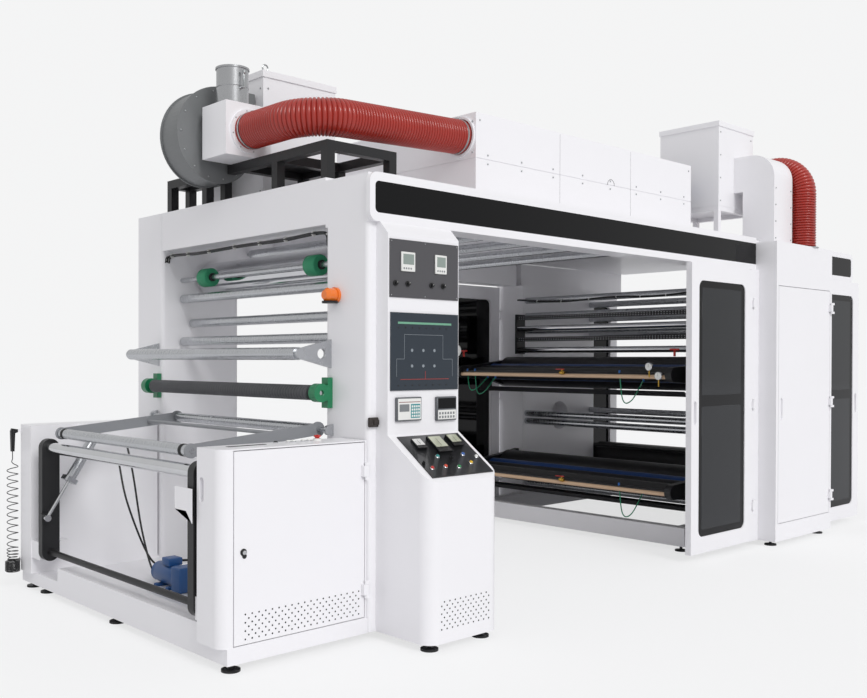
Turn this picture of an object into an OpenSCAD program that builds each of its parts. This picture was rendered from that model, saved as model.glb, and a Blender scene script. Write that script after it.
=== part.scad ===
// Stack-type flexographic printing press for paper and film webs.
// The machine lies along X: rewinder, web tower, walkway under the drying tunnel, print stations.
// The operator stands at the -Y side. The origin is at floor level under the middle of the machine.
// Positions are worked out from a datum on the floor at the near end of the front beam.

/* [Overall] */
// Distance from the front beam to the end plane of the web tower
tower_x = 930; // [800:10:1200]
// Length of the tower's side housings along X
tower_d = 670; // [600:10:900]
// Free length of the walkway between the tower and the print stations
walkway_l = 2600; // [2300:50:3600]
// Width over the tower's side housings
machine_w = 2740; // [2400:10:3200]
// Height of the underside of the top housings
header_z = 2400; // [2250:10:2700]
// Height of the top housings
header_h = 280; // [240:10:360]
// Height of the frames' underside above the floor
foot_h = 45; // [30:1:80]

/* [Rewinder] */
// Width of each side cabinet of the rewinder
cabinet_w = 235; // [180:5:260]
// Top of the rewinder's cabinets above the floor
cabinet_top = 1140; // [1080:5:1180]
// Underside of the rewinder's cabinets above the floor
cabinet_base = 130; // [110:5:160]
// Radius of the cabinets' outer vertical corners
cabinet_r = 70; // [20:5:90]
// Height of the front beam
beam_h = 170; // [120:5:200]
// Thickness of the unloading arms
arm_t = 60; // [40:2:80]
// Height of the unloading arms' pivot
arm_pivot_z = 300; // [260:5:340]
// Distance from the arms' pivot to the reel shaft
arm_l = 700; // [640:5:720]
// Diameter of the reel shaft
reel_d = 75; // [60:1:90]
// Diameter of the lay-on roller
lay_on_d = 65; // [50:1:80]

/* [Tower] */
// Width of each side housing of the tower
column_w = 390; // [300:10:450]
// Diameter of the grooved spreader roller
spreader_d = 90; // [70:1:120]
// Diameter of the idler rollers
idler_d = 65; // [50:1:80]
// Diameter of the chromed pull drum
drum_d = 270; // [200:5:320]
// Diameter of the rubber wheels on the nip shaft
wheel_d = 124; // [90:2:140]

/* [Control cabinet] */
// Width of the control cabinet along X
control_w = 570; // [500:10:600]
// Reach of the control cabinet in front of the tower
control_d = 440; // [380:10:520]
// Height of the desk's front edge
desk_z = 930; // [860:10:980]
// Height of the desk's rear edge
desk_top_z = 1170; // [1120:10:1240]
// Reach of the upper panel in front of the tower
panel_d = 100; // [70:5:140]

/* [Print stations] */
// Width of a left-hand glazed door
door_w = 970; // [850:10:1000]
// Width of a right-hand glazed door
right_door_w = 840; // [760:10:900]
// Thickness of a glazed door
door_t = 50; // [40:1:60]
// Thickness of the glass in the doors
glass_t = 12; // [6:1:16]
// Width of the drive cabinets along X
drive_w = 1070; // [980:10:1200]
// Reach of the drive cabinets in front of the frames
drive_d = 340; // [260:10:400]
// Thickness of the print stations' side frames
frame_t = 140; // [100:5:160]
// Height of the lower print units' centre line
low_unit_z = 520; // [480:10:560]
// Height between the lower and the upper print units
unit_pitch = 960; // [900:10:1000]
// Diameter of the plate cylinders
plate_d = 160; // [130:2:176]
// Diameter of the anilox rollers
anilox_d = 130; // [110:2:140]
// Diameter of the impression cylinders
impression_d = 300; // [260:5:320]

/* [Roof equipment] */
// Length of the drying tunnel
tunnel_l = 2720; // [2000:20:2900]
// Width of the drying tunnel
tunnel_w = 1500; // [1200:20:1800]
// Height of the drying tunnel
tunnel_h = 620; // [500:10:700]
// Diameter of the corrugated hoses
hose_d = 235; // [180:5:250]
// Diameter of the intake stack
stack_d = 210; // [180:5:230]
// Height of the left heater box with its lid
heater_l_h = 930; // [880:10:1000]
// Length of the left heater box along X
heater_l_w = 650; // [560:10:700]
// Height of the right heater box with its lid
heater_r_h = 750; // [650:10:800]
// Length of the right heater box along X
heater_r_w = 630; // [560:10:700]
// Height of the stand under the right heater box
stand_h = 320; // [260:10:360]
// Height of the black equipment platform above the roof
platform_h = 250; // [200:10:280]

/* [Hidden] */
$fn = 64;
knuckle_h = 60;
knuckle_d = 26;
pin_d = 12;
// Distance of a hinge pin in front of its door's face, and how far its lug reaches behind the knuckle
hinge_off = 15;
lug_reach = 4;
// Gap round a flush door
door_gap = 5;
seat_gap = 0.5;
clear = 5;
y_mid = machine_w / 2;
cyl_top = [330, 1110];
cyl_foot = [-30, 540];
near_y = 0;
cab_x0 = -35;
cab_x1 = tower_x - 10;
far_cab_y0 = machine_w - 105 - cabinet_w;
near_arm_y = cabinet_w + 25;
far_arm_y = far_cab_y0 - 200;
reel_x = 20;
reel_z = arm_pivot_z + arm_l;
bar_t = 15;
near_bar_y = near_arm_y + arm_t + 95;
far_bar_y = far_arm_y - 115 - bar_t;
swing_x = tower_x - 30;
swing_z = 1180;
lay_x = reel_x + 20;
lay_z = reel_z + (reel_d + lay_on_d) / 2 + 33;
tower_x1 = tower_x + tower_d;
door_x0 = tower_x1 + walkway_l;
hinge_x = door_x0 + door_w + 15;
post_x = hinge_x + 15;
drive_x0 = post_x + 130;
drive_x1 = drive_x0 + drive_w;
right_hinge_x = drive_x1 + 50;
right_door_x1 = right_hinge_x + 15 + right_door_w;
end_x = right_door_x1 + 55;
frame_y = 120;
door_y = -90;
hinge_y = door_y - 5;
frame_x0 = post_x;
frame_x1 = drive_x1 + 30;
frame_mid_x = (frame_x0 + frame_x1) / 2;
roof_z = header_z + header_h - 20;
tunnel_x = door_x0 - 2010;
tunnel_y = 350;
drive_front = frame_y - drive_d;
drive_top = roof_z - 40;
drive_door_z0 = 200;
drive_door_z1 = header_z - 163;
shift_x = (cyl_foot[0] - 28 + right_door_x1) / 2;
front_y = -control_d;
back_y = machine_w - frame_y + drive_d + 10 + knuckle_d / 2;
shift_y = (front_y + back_y) / 2;
fascia_y = -33;
control_x = tower_x + 60;
cyl_y = (far_bar_y + bar_t + far_arm_y) / 2;
cyl_len = norm(cyl_top - cyl_foot);
cyl_tilt = atan2(cyl_top[0] - cyl_foot[0], cyl_top[1] - cyl_foot[1]);
units_near_y = frame_y + 30;
units_far_y = machine_w - units_near_y;
unit_reach = 890;
bearing_t = 60;

// The datum is moved so that the origin lies under the middle of the machine.
module in_frame() { translate([-shift_x, -shift_y, 0]) children(); }

// A box between two corners.
module slab(a, b) { translate(a) cube(b - a); }

// A plan outline with its four corners rounded to one radius.
module round_plan(w, d, r) {
    translate([r, 0]) square([w - 2 * r, d]);
    translate([0, r]) square([w, d - 2 * r]);
    for (x = [r, w - r], y = [r, d - r]) translate([x, y]) circle(r = r);
}

// A round bar along Y.
module bar_y(x, z, d, y0, y1) { translate([x, y0, z]) rotate([-90, 0, 0]) cylinder(d = d, h = y1 - y0); }

// A roller along Y with a thinner journal at each end.
module roller(x, z, d, y0, y1, journal_d, journal_l) {
    bar_y(x, z, d, y0 + journal_l, y1 - journal_l);
    bar_y(x, z, journal_d, y0, y1);
}

// The far side repeats the near side.
module far_side() { translate([0, machine_w, 0]) mirror([0, 1, 0]) children(); }

// The fixed half of a door hinge: a lug above and below the knuckle, and the pin.
// The lugs reach along X by dx and along Y by dy to what carries them.
module hinge_pin(x, y, z, dx, dy) {
    for (lug_z = [z - 20, z + knuckle_h + seat_gap])
        translate([x, y, lug_z]) {
            cylinder(d = knuckle_d, h = 20 - seat_gap);
            translate([min(0, dx), -knuckle_d / 2, 0]) cube([abs(dx), knuckle_d + dy, 20 - seat_gap]);
        }
    translate([x, y, z - 20]) cylinder(d = pin_d, h = knuckle_h + 40);
}

// The moving half of a door hinge: a knuckle with its bore, and a tab to the leaf.
module hinge_knuckle(x, y, z, dx) {
    difference() {
        translate([x, y, z]) {
            cylinder(d = knuckle_d, h = knuckle_h);
            translate([min(0, dx), -knuckle_d / 2, 0]) cube([abs(dx), knuckle_d, knuckle_h]);
        }
        translate([x, y, z - 1]) cylinder(d = pin_d + 2 * seat_gap, h = knuckle_h + 2);
    }
}

module rewinder_base() in_frame() color("whitesmoke") {
    slab([0, 0, foot_h], [120, far_cab_y0, cabinet_base]);
    slab([0, cabinet_w + 10, foot_h], [120, far_arm_y - 150, foot_h + beam_h]);
    slab([0, 0, foot_h], [tower_x, cabinet_w - 20, cabinet_base]);
    slab([0, far_cab_y0, foot_h], [tower_x, far_cab_y0 + cabinet_w, cabinet_base]);
    slab([120, cabinet_w - 20, cabinet_base - 30], [tower_x, far_cab_y0, cabinet_base - 18]);
}

foot_places = [[60, 60], [60, y_mid - 60], [60, far_cab_y0 - 60], [60, far_cab_y0 + cabinet_w - 60],
    [control_x + 80, 80 - control_d], [control_x + control_w - 80, 80 - control_d],
    [tower_x + 90, column_w / 2], [tower_x1 - 90, column_w / 2],
    [tower_x + 90, machine_w - column_w / 2], [tower_x1 - 90, machine_w - column_w / 2],
    [door_x0 + 400, frame_y + 120], [door_x0 + 400, machine_w - frame_y - 120],
    [drive_x0 + 90, 90 + frame_y - drive_d], [drive_x1 - 90, 90 + frame_y - drive_d],
    [drive_x0 + 90, machine_w - frame_y + drive_d - 90], [drive_x1 - 90, machine_w - frame_y + drive_d - 90],
    [end_x - 130, frame_y + 120], [end_x - 130, machine_w - frame_y - 120]];

module levelling_feet() in_frame() color("dimgray")
    for (p = foot_places) translate([p[0], p[1], 0]) {
        cylinder(d = 100, h = 12);
        cylinder(d = 24, h = foot_h);
    }

side_door_t = 18;
door1_x0 = cab_x0 + cabinet_r + 5;
door1_x1 = cab_x1 - 15;
door1_z0 = cabinet_base + 10;
door1_z1 = cabinet_top - 12;
door1_t = side_door_t;
door1_hinge_z = [door1_z0 + 130, door1_z1 - 190];

module cabinet_body(y0, outer_low) {
    r = cabinet_r;
    w = cab_x1 - cab_x0;
    translate([cab_x0, y0, cabinet_base]) linear_extrude(cabinet_top - cabinet_base) {
        translate([r, 0]) square([w - r, cabinet_w]);
        translate([0, outer_low ? r : 0]) square([r, cabinet_w - r]);
        translate([r, outer_low ? r : cabinet_w - r]) circle(r = r);
    }
}

module near_rewind_cabinet() in_frame() color("whitesmoke") {
    difference() {
        cabinet_body(0, true);
        slab([door1_x0 - door_gap, -1, door1_z0 - door_gap],
            [door1_x1 + door_gap, door1_t + door_gap, door1_z1 + door_gap]);
        // rounded slot for the shaft block in the end face
        translate([cab_x0 - 1, cabinet_w - 45, reel_z - 75]) rotate([90, 0, 90]) linear_extrude(31)
            hull_slot(42, 130);
    }
    for (z = door1_hinge_z) hinge_pin(door1_x1 + 6, -hinge_off, z, 8, lug_reach);
    arm_bracket(cabinet_w, near_arm_y - 2);
}

module hull_slot(w, h) {
    square([w, h - w], center = true);
    for (s = [-1, 1]) translate([0, s * (h - w) / 2]) circle(d = w);
}

// A chamfered bracket that carries the pivot of the unloading arms.
module arm_bracket(y0, y1) {
    difference() {
        translate([0, y1, 0]) rotate([90, 0, 0]) linear_extrude(y1 - y0)
            polygon([[-30, arm_pivot_z - 60], [110, arm_pivot_z - 60], [170, arm_pivot_z],
                [170, arm_pivot_z + 60], [-30, arm_pivot_z + 60]]);
        bar_y(reel_x, arm_pivot_z, 41, y0 - 1, y1 + 1);
    }
}

module near_rewind_door() in_frame() color("whitesmoke") {
    slab([door1_x0, 0, door1_z0], [door1_x1, door1_t, door1_z1]);
    for (z = door1_hinge_z) hinge_knuckle(door1_x1 + 6, -hinge_off, z, -30);
    for (z = door1_hinge_z)
        slab([door1_x1 - 24, -10, z], [door1_x1 - 2, 4, z + knuckle_h]);
}

// Outer size of the curly hose and of the bundle under it, and where they hang.
curl_d = 80;
curl_z = 285;
curl_top = 865;
bundle_d = 100;
bundle_z = 120;
gun_x = cab_x0 - bundle_d / 2 - 3;
gun_y = far_cab_y0 + cabinet_w - 45;
gun_z = 955;
gun_head = 34;

module far_rewind_cabinet() in_frame() color("whitesmoke") {
    cabinet_body(far_cab_y0, false);
    // hook of the air gun, and the gland of its hose
    slab([gun_x + gun_head, gun_y - 10, gun_z + 132], [cab_x0 + 30, gun_y + 10, gun_z + 152]);
    translate([gun_x + bundle_d / 2 + 0.3, gun_y, curl_z - 80]) rotate([0, 90, 0]) cylinder(d = 24, h = 30);
    arm_bracket(far_arm_y + arm_t + 2, far_cab_y0);
    // bracket and pin of the arm cylinder
    translate([cyl_top[0], 0, cyl_top[1]]) rotate([90, 0, 0]) {
        translate([0, 0, -far_cab_y0]) cylinder(d = 70, h = 90);
        translate([0, 0, -far_cab_y0]) cylinder(d = 20, h = far_cab_y0 - cyl_y + 32);
    }
}

// Thickness of the roof deck
deck_t = 30;
// Distance of the fascias' underside below the header
fascia_drop = 20;
// Depth of the header beam along X
header_d = 150;
// Radius of the fascias' outer corners and of the dark glass in them
fascia_r = 55;
band_r = 28;

module near_tower_housing() in_frame() color("whitesmoke") {
    translate([tower_x, near_y, foot_h]) linear_extrude(header_z - fascia_drop - foot_h)
        round_plan(tower_d, column_w, 30);
    slab([tower_x + header_d, 60, header_z - fascia_drop - 1], [tower_x1, column_w, roof_z - deck_t]);
}

module far_tower_housing() in_frame() color("whitesmoke") {
    translate([tower_x, machine_w - column_w, foot_h]) linear_extrude(header_z + header_h - foot_h)
        round_plan(tower_d, column_w, 30);
}

module header_end_beam() in_frame() color("whitesmoke") {
    slab([tower_x, column_w, header_z], [tower_x + header_d, machine_w - column_w, header_z + header_h]);
    slab([tower_x, near_y, header_z - fascia_drop], [tower_x + header_d, column_w, roof_z]);
    // gutter over the web's way out
    slab([tower_x + header_d, column_w, header_z],
        [tower_x + header_d + 30, machine_w - column_w, header_z + 60]);
}

// A panel outline whose two corners at one end are rounded.
module end_round(w, h, r, left) {
    translate([left ? r : 0, 0]) square([w - r, h]);
    translate([0, r]) square([w, h - 2 * r]);
    for (y = [r, h - r]) translate([left ? r : w - r, y]) circle(r = r);
}

band_z = 50;
band_h = 180;
band_edge = 40;
band_depth = 10;
fascia_h = roof_z - header_z + fascia_drop;

// A roof fascia: a front panel rounded at one end, with a groove for the dark glass.
module fascia(x0, x1, left) {
    difference() {
        translate([x0, 0, header_z - fascia_drop]) rotate([90, 0, 0]) linear_extrude(-fascia_y)
            end_round(x1 - x0, fascia_h, fascia_r, left);
        glass_cut(x0, x1, left, band_depth + 1);
    }
    body_x0 = left ? max(x0, tower_x + header_d) : x0;
    slab([body_x0, 0, header_z - fascia_drop], [left ? x1 : x1 - fascia_r, 60, roof_z]);
}
// The groove's outline, from the front of the panel to a depth.
module glass_cut(x0, x1, left, t)
    translate([left ? x0 + band_edge : x0 - 1, fascia_y + band_depth, header_z - fascia_drop + band_z])
        rotate([90, 0, 0]) linear_extrude(t) end_round(x1 - x0 - band_edge + 1, band_h, band_r, left);
module glass_band(x0, x1, left)
    translate([left ? x0 + band_edge + seat_gap : x0, fascia_y + band_depth,
            header_z - fascia_drop + band_z + seat_gap])
        rotate([90, 0, 0]) linear_extrude(band_depth - 2)
            end_round(x1 - x0 - band_edge - seat_gap, band_h - 2 * seat_gap, band_r, left);

near_fascia_x0 = tower_x - 16;
module near_fascia() in_frame() color("whitesmoke") {
    fascia(near_fascia_x0, drive_x0, true);
    fascia(drive_x1, end_x - 60, false);
}
module far_fascia() in_frame() color("whitesmoke") far_side() {
    fascia(tower_x1, drive_x0, true);
    fascia(drive_x1, end_x - 60, false);
}
module fascia_glass() in_frame() color("black") {
    glass_band(near_fascia_x0, drive_x0, true);
    glass_band(drive_x1, end_x - 60, false);
    far_side() {
        glass_band(tower_x1, drive_x0, true);
        glass_band(drive_x1, end_x - 60, false);
    }
}

girder_w = 100;
// Cross beams under the deck
beam_at = [500, 1250, 2000];
module roof_deck() in_frame() color("whitesmoke") {
    slab([tower_x + header_d, 60, roof_z - deck_t], [tower_x1, machine_w - column_w, roof_z]);
    slab([tower_x1, 60, roof_z - deck_t], [end_x - 60, machine_w - 60, roof_z]);
    for (y = [60, machine_w - 60 - girder_w])
        slab([tower_x1, y, header_z - fascia_drop], [frame_x0, y + girder_w, roof_z - deck_t]);
    for (x = beam_at)
        slab([tower_x1 + x, 160, roof_z - 130], [tower_x1 + x + 60, machine_w - 160, roof_z - deck_t]);
}

bridge_pitch = 500;
module bridge_rollers() in_frame() color("silver")
    for (i = [0 : 4]) {
        x = tower_x1 + 250 + i * bridge_pitch;
        roller(x, header_z + 60, idler_d, 160, machine_w - 160, 30, 40);
    }

module control_cabinet() in_frame() color("whitesmoke") intersection() {
    translate([control_x, 0, 0]) rotate([90, 0, 90]) linear_extrude(control_w)
        polygon([[0, foot_h], [-control_d, foot_h], [-control_d, desk_z], [-panel_d, desk_top_z],
            [-panel_d, header_z - 90], [fascia_y, header_z - 20], [0, header_z - 20]]);
    translate([control_x, -control_d, 0]) linear_extrude(header_z) {
        translate([80, 0]) square([control_w - 160, control_d]);
        translate([0, 80]) square([control_w, control_d - 80]);
        for (x = [80, control_w - 80]) translate([x, 80]) circle(r = 80);
    }
}

desk_angle = atan2(desk_top_z - desk_z, control_d - panel_d);
desk_len = norm([desk_top_z - desk_z, control_d - panel_d]);
// Puts what it holds on the sloping desk: X along the desk, Y up the slope, Z out of it.
module on_desk() {
    translate([control_x, -control_d, desk_z]) rotate([desk_angle, 0, 0]) children();
}
// Puts what it holds on the upright panel: X along it, Y up, Z out of it.
module on_panel() {
    translate([control_x, -panel_d, desk_top_z]) rotate([90, 0, 0]) children();
}
upright_h = header_z - 90 - desk_top_z;

module control_panels() in_frame() {
    color("black") on_desk() translate([90, 35, 0.1]) cube([control_w - 130, desk_len - 60, 6]);
    color("darkslategray") on_panel() {
        translate([25, upright_h * 0.65, 0]) cube([control_w - 50, upright_h * 0.32, 6]);
        translate([25, upright_h * 0.21, 0]) cube([control_w - 50, upright_h * 0.4, 8]);
        for (x = [60, 330]) translate([x, upright_h * 0.07, 0]) cube([150, upright_h * 0.11, 20]);
    }
}

module beacon() in_frame() translate([tower_x, 290, 1973]) rotate([0, -90, 0]) {
    color("dimgray") cylinder(d = 96, h = 18);
    color("orangered") translate([0, 0, 18]) {
        cylinder(d = 84, h = 50);
        translate([0, 0, 50]) cylinder(d1 = 84, d2 = 50, h = 22);
    }
}

module arm_plate(y) {
    difference() {
        translate([0, y + arm_t, 0]) rotate([90, 0, 0]) linear_extrude(arm_t) {
            translate([reel_x - 60, arm_pivot_z]) square([120, arm_l]);
            translate([reel_x, arm_pivot_z]) circle(d = 120);
            translate([reel_x, reel_z]) circle(d = 120);
        }
        bar_y(reel_x, reel_z, 41, y - 1, y + arm_t + 1);
    }
}

module unloading_arms() in_frame() color("black") {
    arm_plate(near_arm_y);
    arm_plate(far_arm_y);
    bar_y(reel_x, arm_pivot_z, 40, cabinet_w + 1, near_arm_y);
    bar_y(reel_x, arm_pivot_z, 40, near_arm_y + arm_t, far_arm_y);
    bar_y(reel_x, arm_pivot_z, 40, far_arm_y + arm_t, far_cab_y0 - 1);
    // lug for the cylinder's rod on the far arm
    difference() {
        slab([cyl_foot[0] - 28, cyl_y + 18, cyl_foot[1] - 28], [cyl_foot[0] + 28, far_arm_y, cyl_foot[1] + 28]);
        bar_y(cyl_foot[0], cyl_foot[1], 38, cyl_y, far_arm_y - 2);
    }
}

module reel_shaft() in_frame() color("silver") {
    bar_y(reel_x, reel_z, reel_d, near_arm_y + arm_t + 4, far_arm_y - 4);
    bar_y(reel_x, reel_z, 40, near_arm_y + 2, far_arm_y + arm_t - 2);
}

// Puts what it holds on the arm cylinder's line, with Z from the upper pin to the lower one.
module on_cylinder() {
    translate([cyl_top[0], cyl_y, cyl_top[1]]) rotate([0, 180 + cyl_tilt, 0]) children();
}

barrel_d = 70;
// Square end flange of the arm cylinder, with bevelled corners.
module end_flange() linear_extrude(30) intersection() {
    square(barrel_d + 20, center = true);
    rotate([0, 0, 45]) square(1.25 * (barrel_d + 20), center = true);
}

module arm_cylinder() in_frame() color("silver") on_cylinder() difference() {
    union() {
        rotate([90, 0, 0]) translate([0, 0, -18]) cylinder(d = 50, h = 36);
        translate([0, 0, 20]) cylinder(d = 36, h = 40);
        for (z = [50, 370]) translate([0, 0, z]) end_flange();
        translate([0, 0, 80]) cylinder(d = barrel_d, h = 290);
    }
    rotate([90, 0, 0]) translate([0, 0, -40]) cylinder(d = 21, h = 80);
    translate([0, 0, 130]) cylinder(d = 21, h = 300);
}

module cylinder_rod() in_frame() color("silver") on_cylinder() {
    translate([0, 0, 300]) cylinder(d = 20, h = cyl_len - 300);
    translate([0, 0, cyl_len]) rotate([90, 0, 0]) translate([0, 0, -16]) cylinder(d = 44, h = 32);
    translate([0, 0, cyl_len]) rotate([90, 0, 0]) translate([0, 0, -34]) cylinder(d = 20, h = 30);
}

module swing_bar(y) {
    difference() {
        translate([0, y + bar_t, 0]) rotate([90, 0, 0]) linear_extrude(bar_t) {
            polygon([[swing_x, swing_z - 35], [swing_x, swing_z + 35],
                [lay_x, lay_z + 35], [lay_x, lay_z - 35]]);
            translate([swing_x, swing_z]) circle(d = 90);
            translate([lay_x, lay_z]) circle(d = 80);
        }
        bar_y(swing_x, swing_z, 31, y - 1, y + bar_t + 1);
        bar_y(lay_x, lay_z, 31, y - 1, y + bar_t + 1);
    }
}

module lay_on_arms() in_frame() color("darkgray") {
    swing_bar(near_bar_y);
    swing_bar(far_bar_y);
    bar_y(swing_x - 230, swing_z - 20, 24, near_bar_y + bar_t, far_bar_y);
}

module lay_on_roller() in_frame() color("silver") {
    bar_y(lay_x, lay_z, lay_on_d, near_bar_y + bar_t + 4, far_bar_y - 4);
    bar_y(lay_x, lay_z, 30, near_bar_y + 1, far_bar_y + bar_t - 1);
}

column_in = column_w;
far_in = machine_w - column_w;
spreader_at = [tower_x - 80, 1400];
bracket_at = [tower_x - 230, 1630];
drum_at = [tower_x + 420, 2200];

// A triangular bracket on the tower's end face, with its roller's seat at the tip.
module roller_bracket(y0, x_tip, z, h, t) {
    translate([0, y0 + t, 0]) rotate([90, 0, 0]) linear_extrude(t) {
        polygon([[x_tip, z - 30], [x_tip, z + 30], [tower_x, z + h / 2], [tower_x, z - h / 2]]);
        translate([x_tip, z]) circle(d = 60);
    }
}
// Long brackets have a lightening hole near the tower.
module holed_bracket(y0, x_tip, z, h, t) {
    difference() {
        roller_bracket(y0, x_tip, z, h, t);
        bar_y(tower_x - 75, z, 60, y0 - 1, y0 + t + 1);
    }
}

module tower_rollers() in_frame() color("silver") {
    // shaft of the swing bars, held in brackets on the tower
    bar_y(swing_x, swing_z, 30, column_in - 60, far_in + 60);
    bar_y(swing_x, swing_z, lay_on_d, near_bar_y + bar_t + 4, far_bar_y - 4);
    for (y = [column_in - 80, far_in + 60]) roller_bracket(y, swing_x, swing_z, 70, 20);
    // bracket roller
    bar_y(bracket_at[0], bracket_at[1], reel_d, column_in - 40, far_in + 40);
    for (y = [column_in - 60, far_in + 40]) holed_bracket(y, bracket_at[0], bracket_at[1], 170, 20);
    // idlers inside the tower
    for (p = [[tower_x + 170, 1730], [tower_x + 250, 1870], [tower_x + 170, 2050]])
        roller(p[0], p[1], idler_d, column_in, far_in, 30, 20);
    // nip shaft with its two rubber wheels
    bar_y(tower_x + 170, 2190, 36, column_in, far_in);
    for (y = [column_in + 260, far_in - 420])
        bar_y(tower_x + 170, 2190, wheel_d, y, y + 110);
}

module spreader_roller() in_frame() color("silver") {
    bar_y(spreader_at[0], spreader_at[1], spreader_d, column_in + 30, far_in - 30);
    bar_y(spreader_at[0], spreader_at[1], 30, column_in - 60, far_in + 60);
}

module spreader_bearings() in_frame() color("seagreen")
    for (y = [column_in - 70, far_in + 10]) difference() {
        union() {
            slab([spreader_at[0] + 45, y, spreader_at[1] - 90], [tower_x, y + 60, spreader_at[1] + 90]);
            bar_y(spreader_at[0], spreader_at[1], 110, y, y + 60);
            slab([spreader_at[0], y, spreader_at[1] - 45], [tower_x, y + 60, spreader_at[1] + 45]);
        }
        bar_y(spreader_at[0], spreader_at[1], 31, y - 1, y + 61);
    }

module pull_drum() in_frame() color("silver") {
    bar_y(drum_at[0], drum_at[1], drum_d, column_in + 30, far_in - 30);
    bar_y(drum_at[0], drum_at[1], 60, column_in + seat_gap, far_in - seat_gap);
}

// Square tube of the equipment platform
tube = 60;
platform_x = tower_x + 10;
platform_x1 = platform_x + 560;
platform_y0 = column_w;
platform_y1 = 2290;
platform_z = roof_z + platform_h;
box_x = tower_x - 210;
box_y = 1150;
box_w = 350;
box_l = 285;
box_z = platform_z;
box_h = 345;
box_mid = [box_x + box_w / 2, box_y + box_l / 2];
fan_z = box_z + box_h / 2 - 8;
fan_y = box_y + box_l + 65;
fan_w = 220;
// Smallest radius of the fan's spiral, and its growth up to the outlet
fan_r = 245;
fan_grow = 105;
// Room between the fan housing and the platform's tubes
fan_gap = 25;
near_bay_y = fan_y - fan_gap;
far_bay_y = fan_y + fan_w + fan_gap;
heater_l_x = platform_x + 235;
heater_l_y = box_y + 250;
heater_l_l = 700;

// A horizontal tube of the platform between two plan points, one side up to the platform's top.
module rail(x0, y0, x1, y1) slab([x0, y0, platform_z - tube], [x1, y1, platform_z]);
// An upright of the platform: it stands on the header beam or, further back, on the roof deck.
module post(x, y) {
    foot = x < tower_x + header_d ? header_z + header_h : roof_z;
    slab([x, y, foot], [x + tube, y + tube, platform_z]);
}

module platform_frame() in_frame() color("black") {
    // near bay under the mixing box
    rail(platform_x, platform_y0, platform_x + tube, near_bay_y);
    rail(platform_x, platform_y0, platform_x1, platform_y0 + tube);
    rail(platform_x1 - tube, platform_y0, platform_x1, heater_l_y - 40);
    rail(platform_x, box_y - 250, platform_x1, box_y - 250 + tube);
    rail(platform_x, heater_l_y - 40 - tube, platform_x1, heater_l_y - 40);
    slab([platform_x + tube, box_y - 250 + tube, platform_z - 12],
        [platform_x1 - tube, heater_l_y - 40 - tube, platform_z - 4]);
    for (x = [platform_x, platform_x1 - tube], y = [platform_y0, box_y - 250]) post(x, y);
    post(platform_x1 - tube, heater_l_y - 40 - tube);
    // far bay behind the fan
    rail(platform_x, far_bay_y, platform_x + tube, platform_y1);
    rail(platform_x + 150, far_bay_y, platform_x + 150 + tube, platform_y1);
    rail(platform_x, platform_y1 - tube, platform_x + 150 + tube, platform_y1);
    rail(platform_x, far_bay_y, platform_x + 150 + tube, far_bay_y + tube);
    for (x = [platform_x, platform_x + 150], y = [far_bay_y, platform_y1 - tube]) post(x, y);
}

collar_d = hose_d + 50;
module mixing_box() in_frame() color("whitesmoke") {
    slab([box_x, box_y, box_z], [box_x + box_w, box_y + box_l, box_z + box_h]);
    // inlet flange and neck of the fan
    translate([box_mid[0], box_y + box_l, fan_z]) rotate([-90, 0, 0]) {
        cylinder(d = 2 * fan_r - 170, h = 25);
        cylinder(d = 2 * fan_r - 220, h = fan_y - box_y - box_l - seat_gap);
    }
    // hose collar
    translate([box_mid[0], box_y, fan_z]) rotate([90, 0, 0]) cylinder(d = collar_d, h = 14);
}

// Intake stack with the spindle of its damper through it.
module intake_stack() in_frame() color("lightgray")
    translate([box_mid[0] - 35, box_mid[1], box_z + box_h]) {
        difference() {
            union() {
                cylinder(d = stack_d, h = 250);
                cylinder(d = stack_d + 24, h = 12);
                translate([0, 0, 238]) cylinder(d = stack_d + 12, h = 12);
            }
            translate([0, 0, 40]) cylinder(d = stack_d - 6, h = 240);
        }
        translate([0, stack_d / 2 + 70, 105]) rotate([90, 0, 0]) cylinder(d = 14, h = stack_d + 110);
    }

// Spiral outline of the fan: the radius grows evenly from the tongue under the outlet, by the bottom
// and the left side, to the top, where the outlet leaves to the right.
function fan_radius(a) = fan_r + fan_grow * (a + 90) / 270;
outlet_h = 190;
module scroll_outline(over) {
    polygon([for (a = [-90 : 6 : 180]) (fan_radius(a) + over) * [-sin(a), -cos(a)]]);
    translate([-1, fan_radius(180) - outlet_h - over])
        square([heater_l_x - box_mid[0] - seat_gap + 1, outlet_h + 2 * over]);
}
module fan_scroll() in_frame() color("dimgray") {
    translate([box_mid[0], fan_y + fan_w, fan_z]) rotate([90, 0, 0]) {
        linear_extrude(fan_w) scroll_outline(0);
        // rims of the two side plates
        for (t = [-4, fan_w - 4]) translate([0, 0, t]) linear_extrude(8) difference() {
            scroll_outline(12);
            circle(r = fan_r - 60);
        }
    }
    // motor on the back plate, and its foot on the platform
    translate([box_mid[0], fan_y + fan_w, fan_z]) rotate([-90, 0, 0]) {
        cylinder(d = 240, h = 30);
        cylinder(d = 190, h = 230);
        translate([0, 0, 230]) cylinder(d = 170, h = 40);
    }
    slab([box_mid[0] - 70, fan_y + fan_w + 40, fan_z + 60],
        [box_mid[0] + 70, fan_y + fan_w + 150, fan_z + 130]);
    slab([box_mid[0] - 90, far_bay_y + 10, box_z], [platform_x + 190, far_bay_y + 170, box_z + 12]);
    slab([box_mid[0] - 60, far_bay_y + 30, box_z], [box_mid[0] + 60, far_bay_y + 150, fan_z - 60]);
}

lid_h = 45;
lid_over = 8;
// A heater box with its overhanging lid; the lid's two latches are set into the front.
module heater_box(w, l, h) {
    slab([lid_over, lid_over, 0], [w - lid_over, l - lid_over, h - lid_h]);
    slab([0, 0, h - lid_h], [w, l, h]);
}

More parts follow.
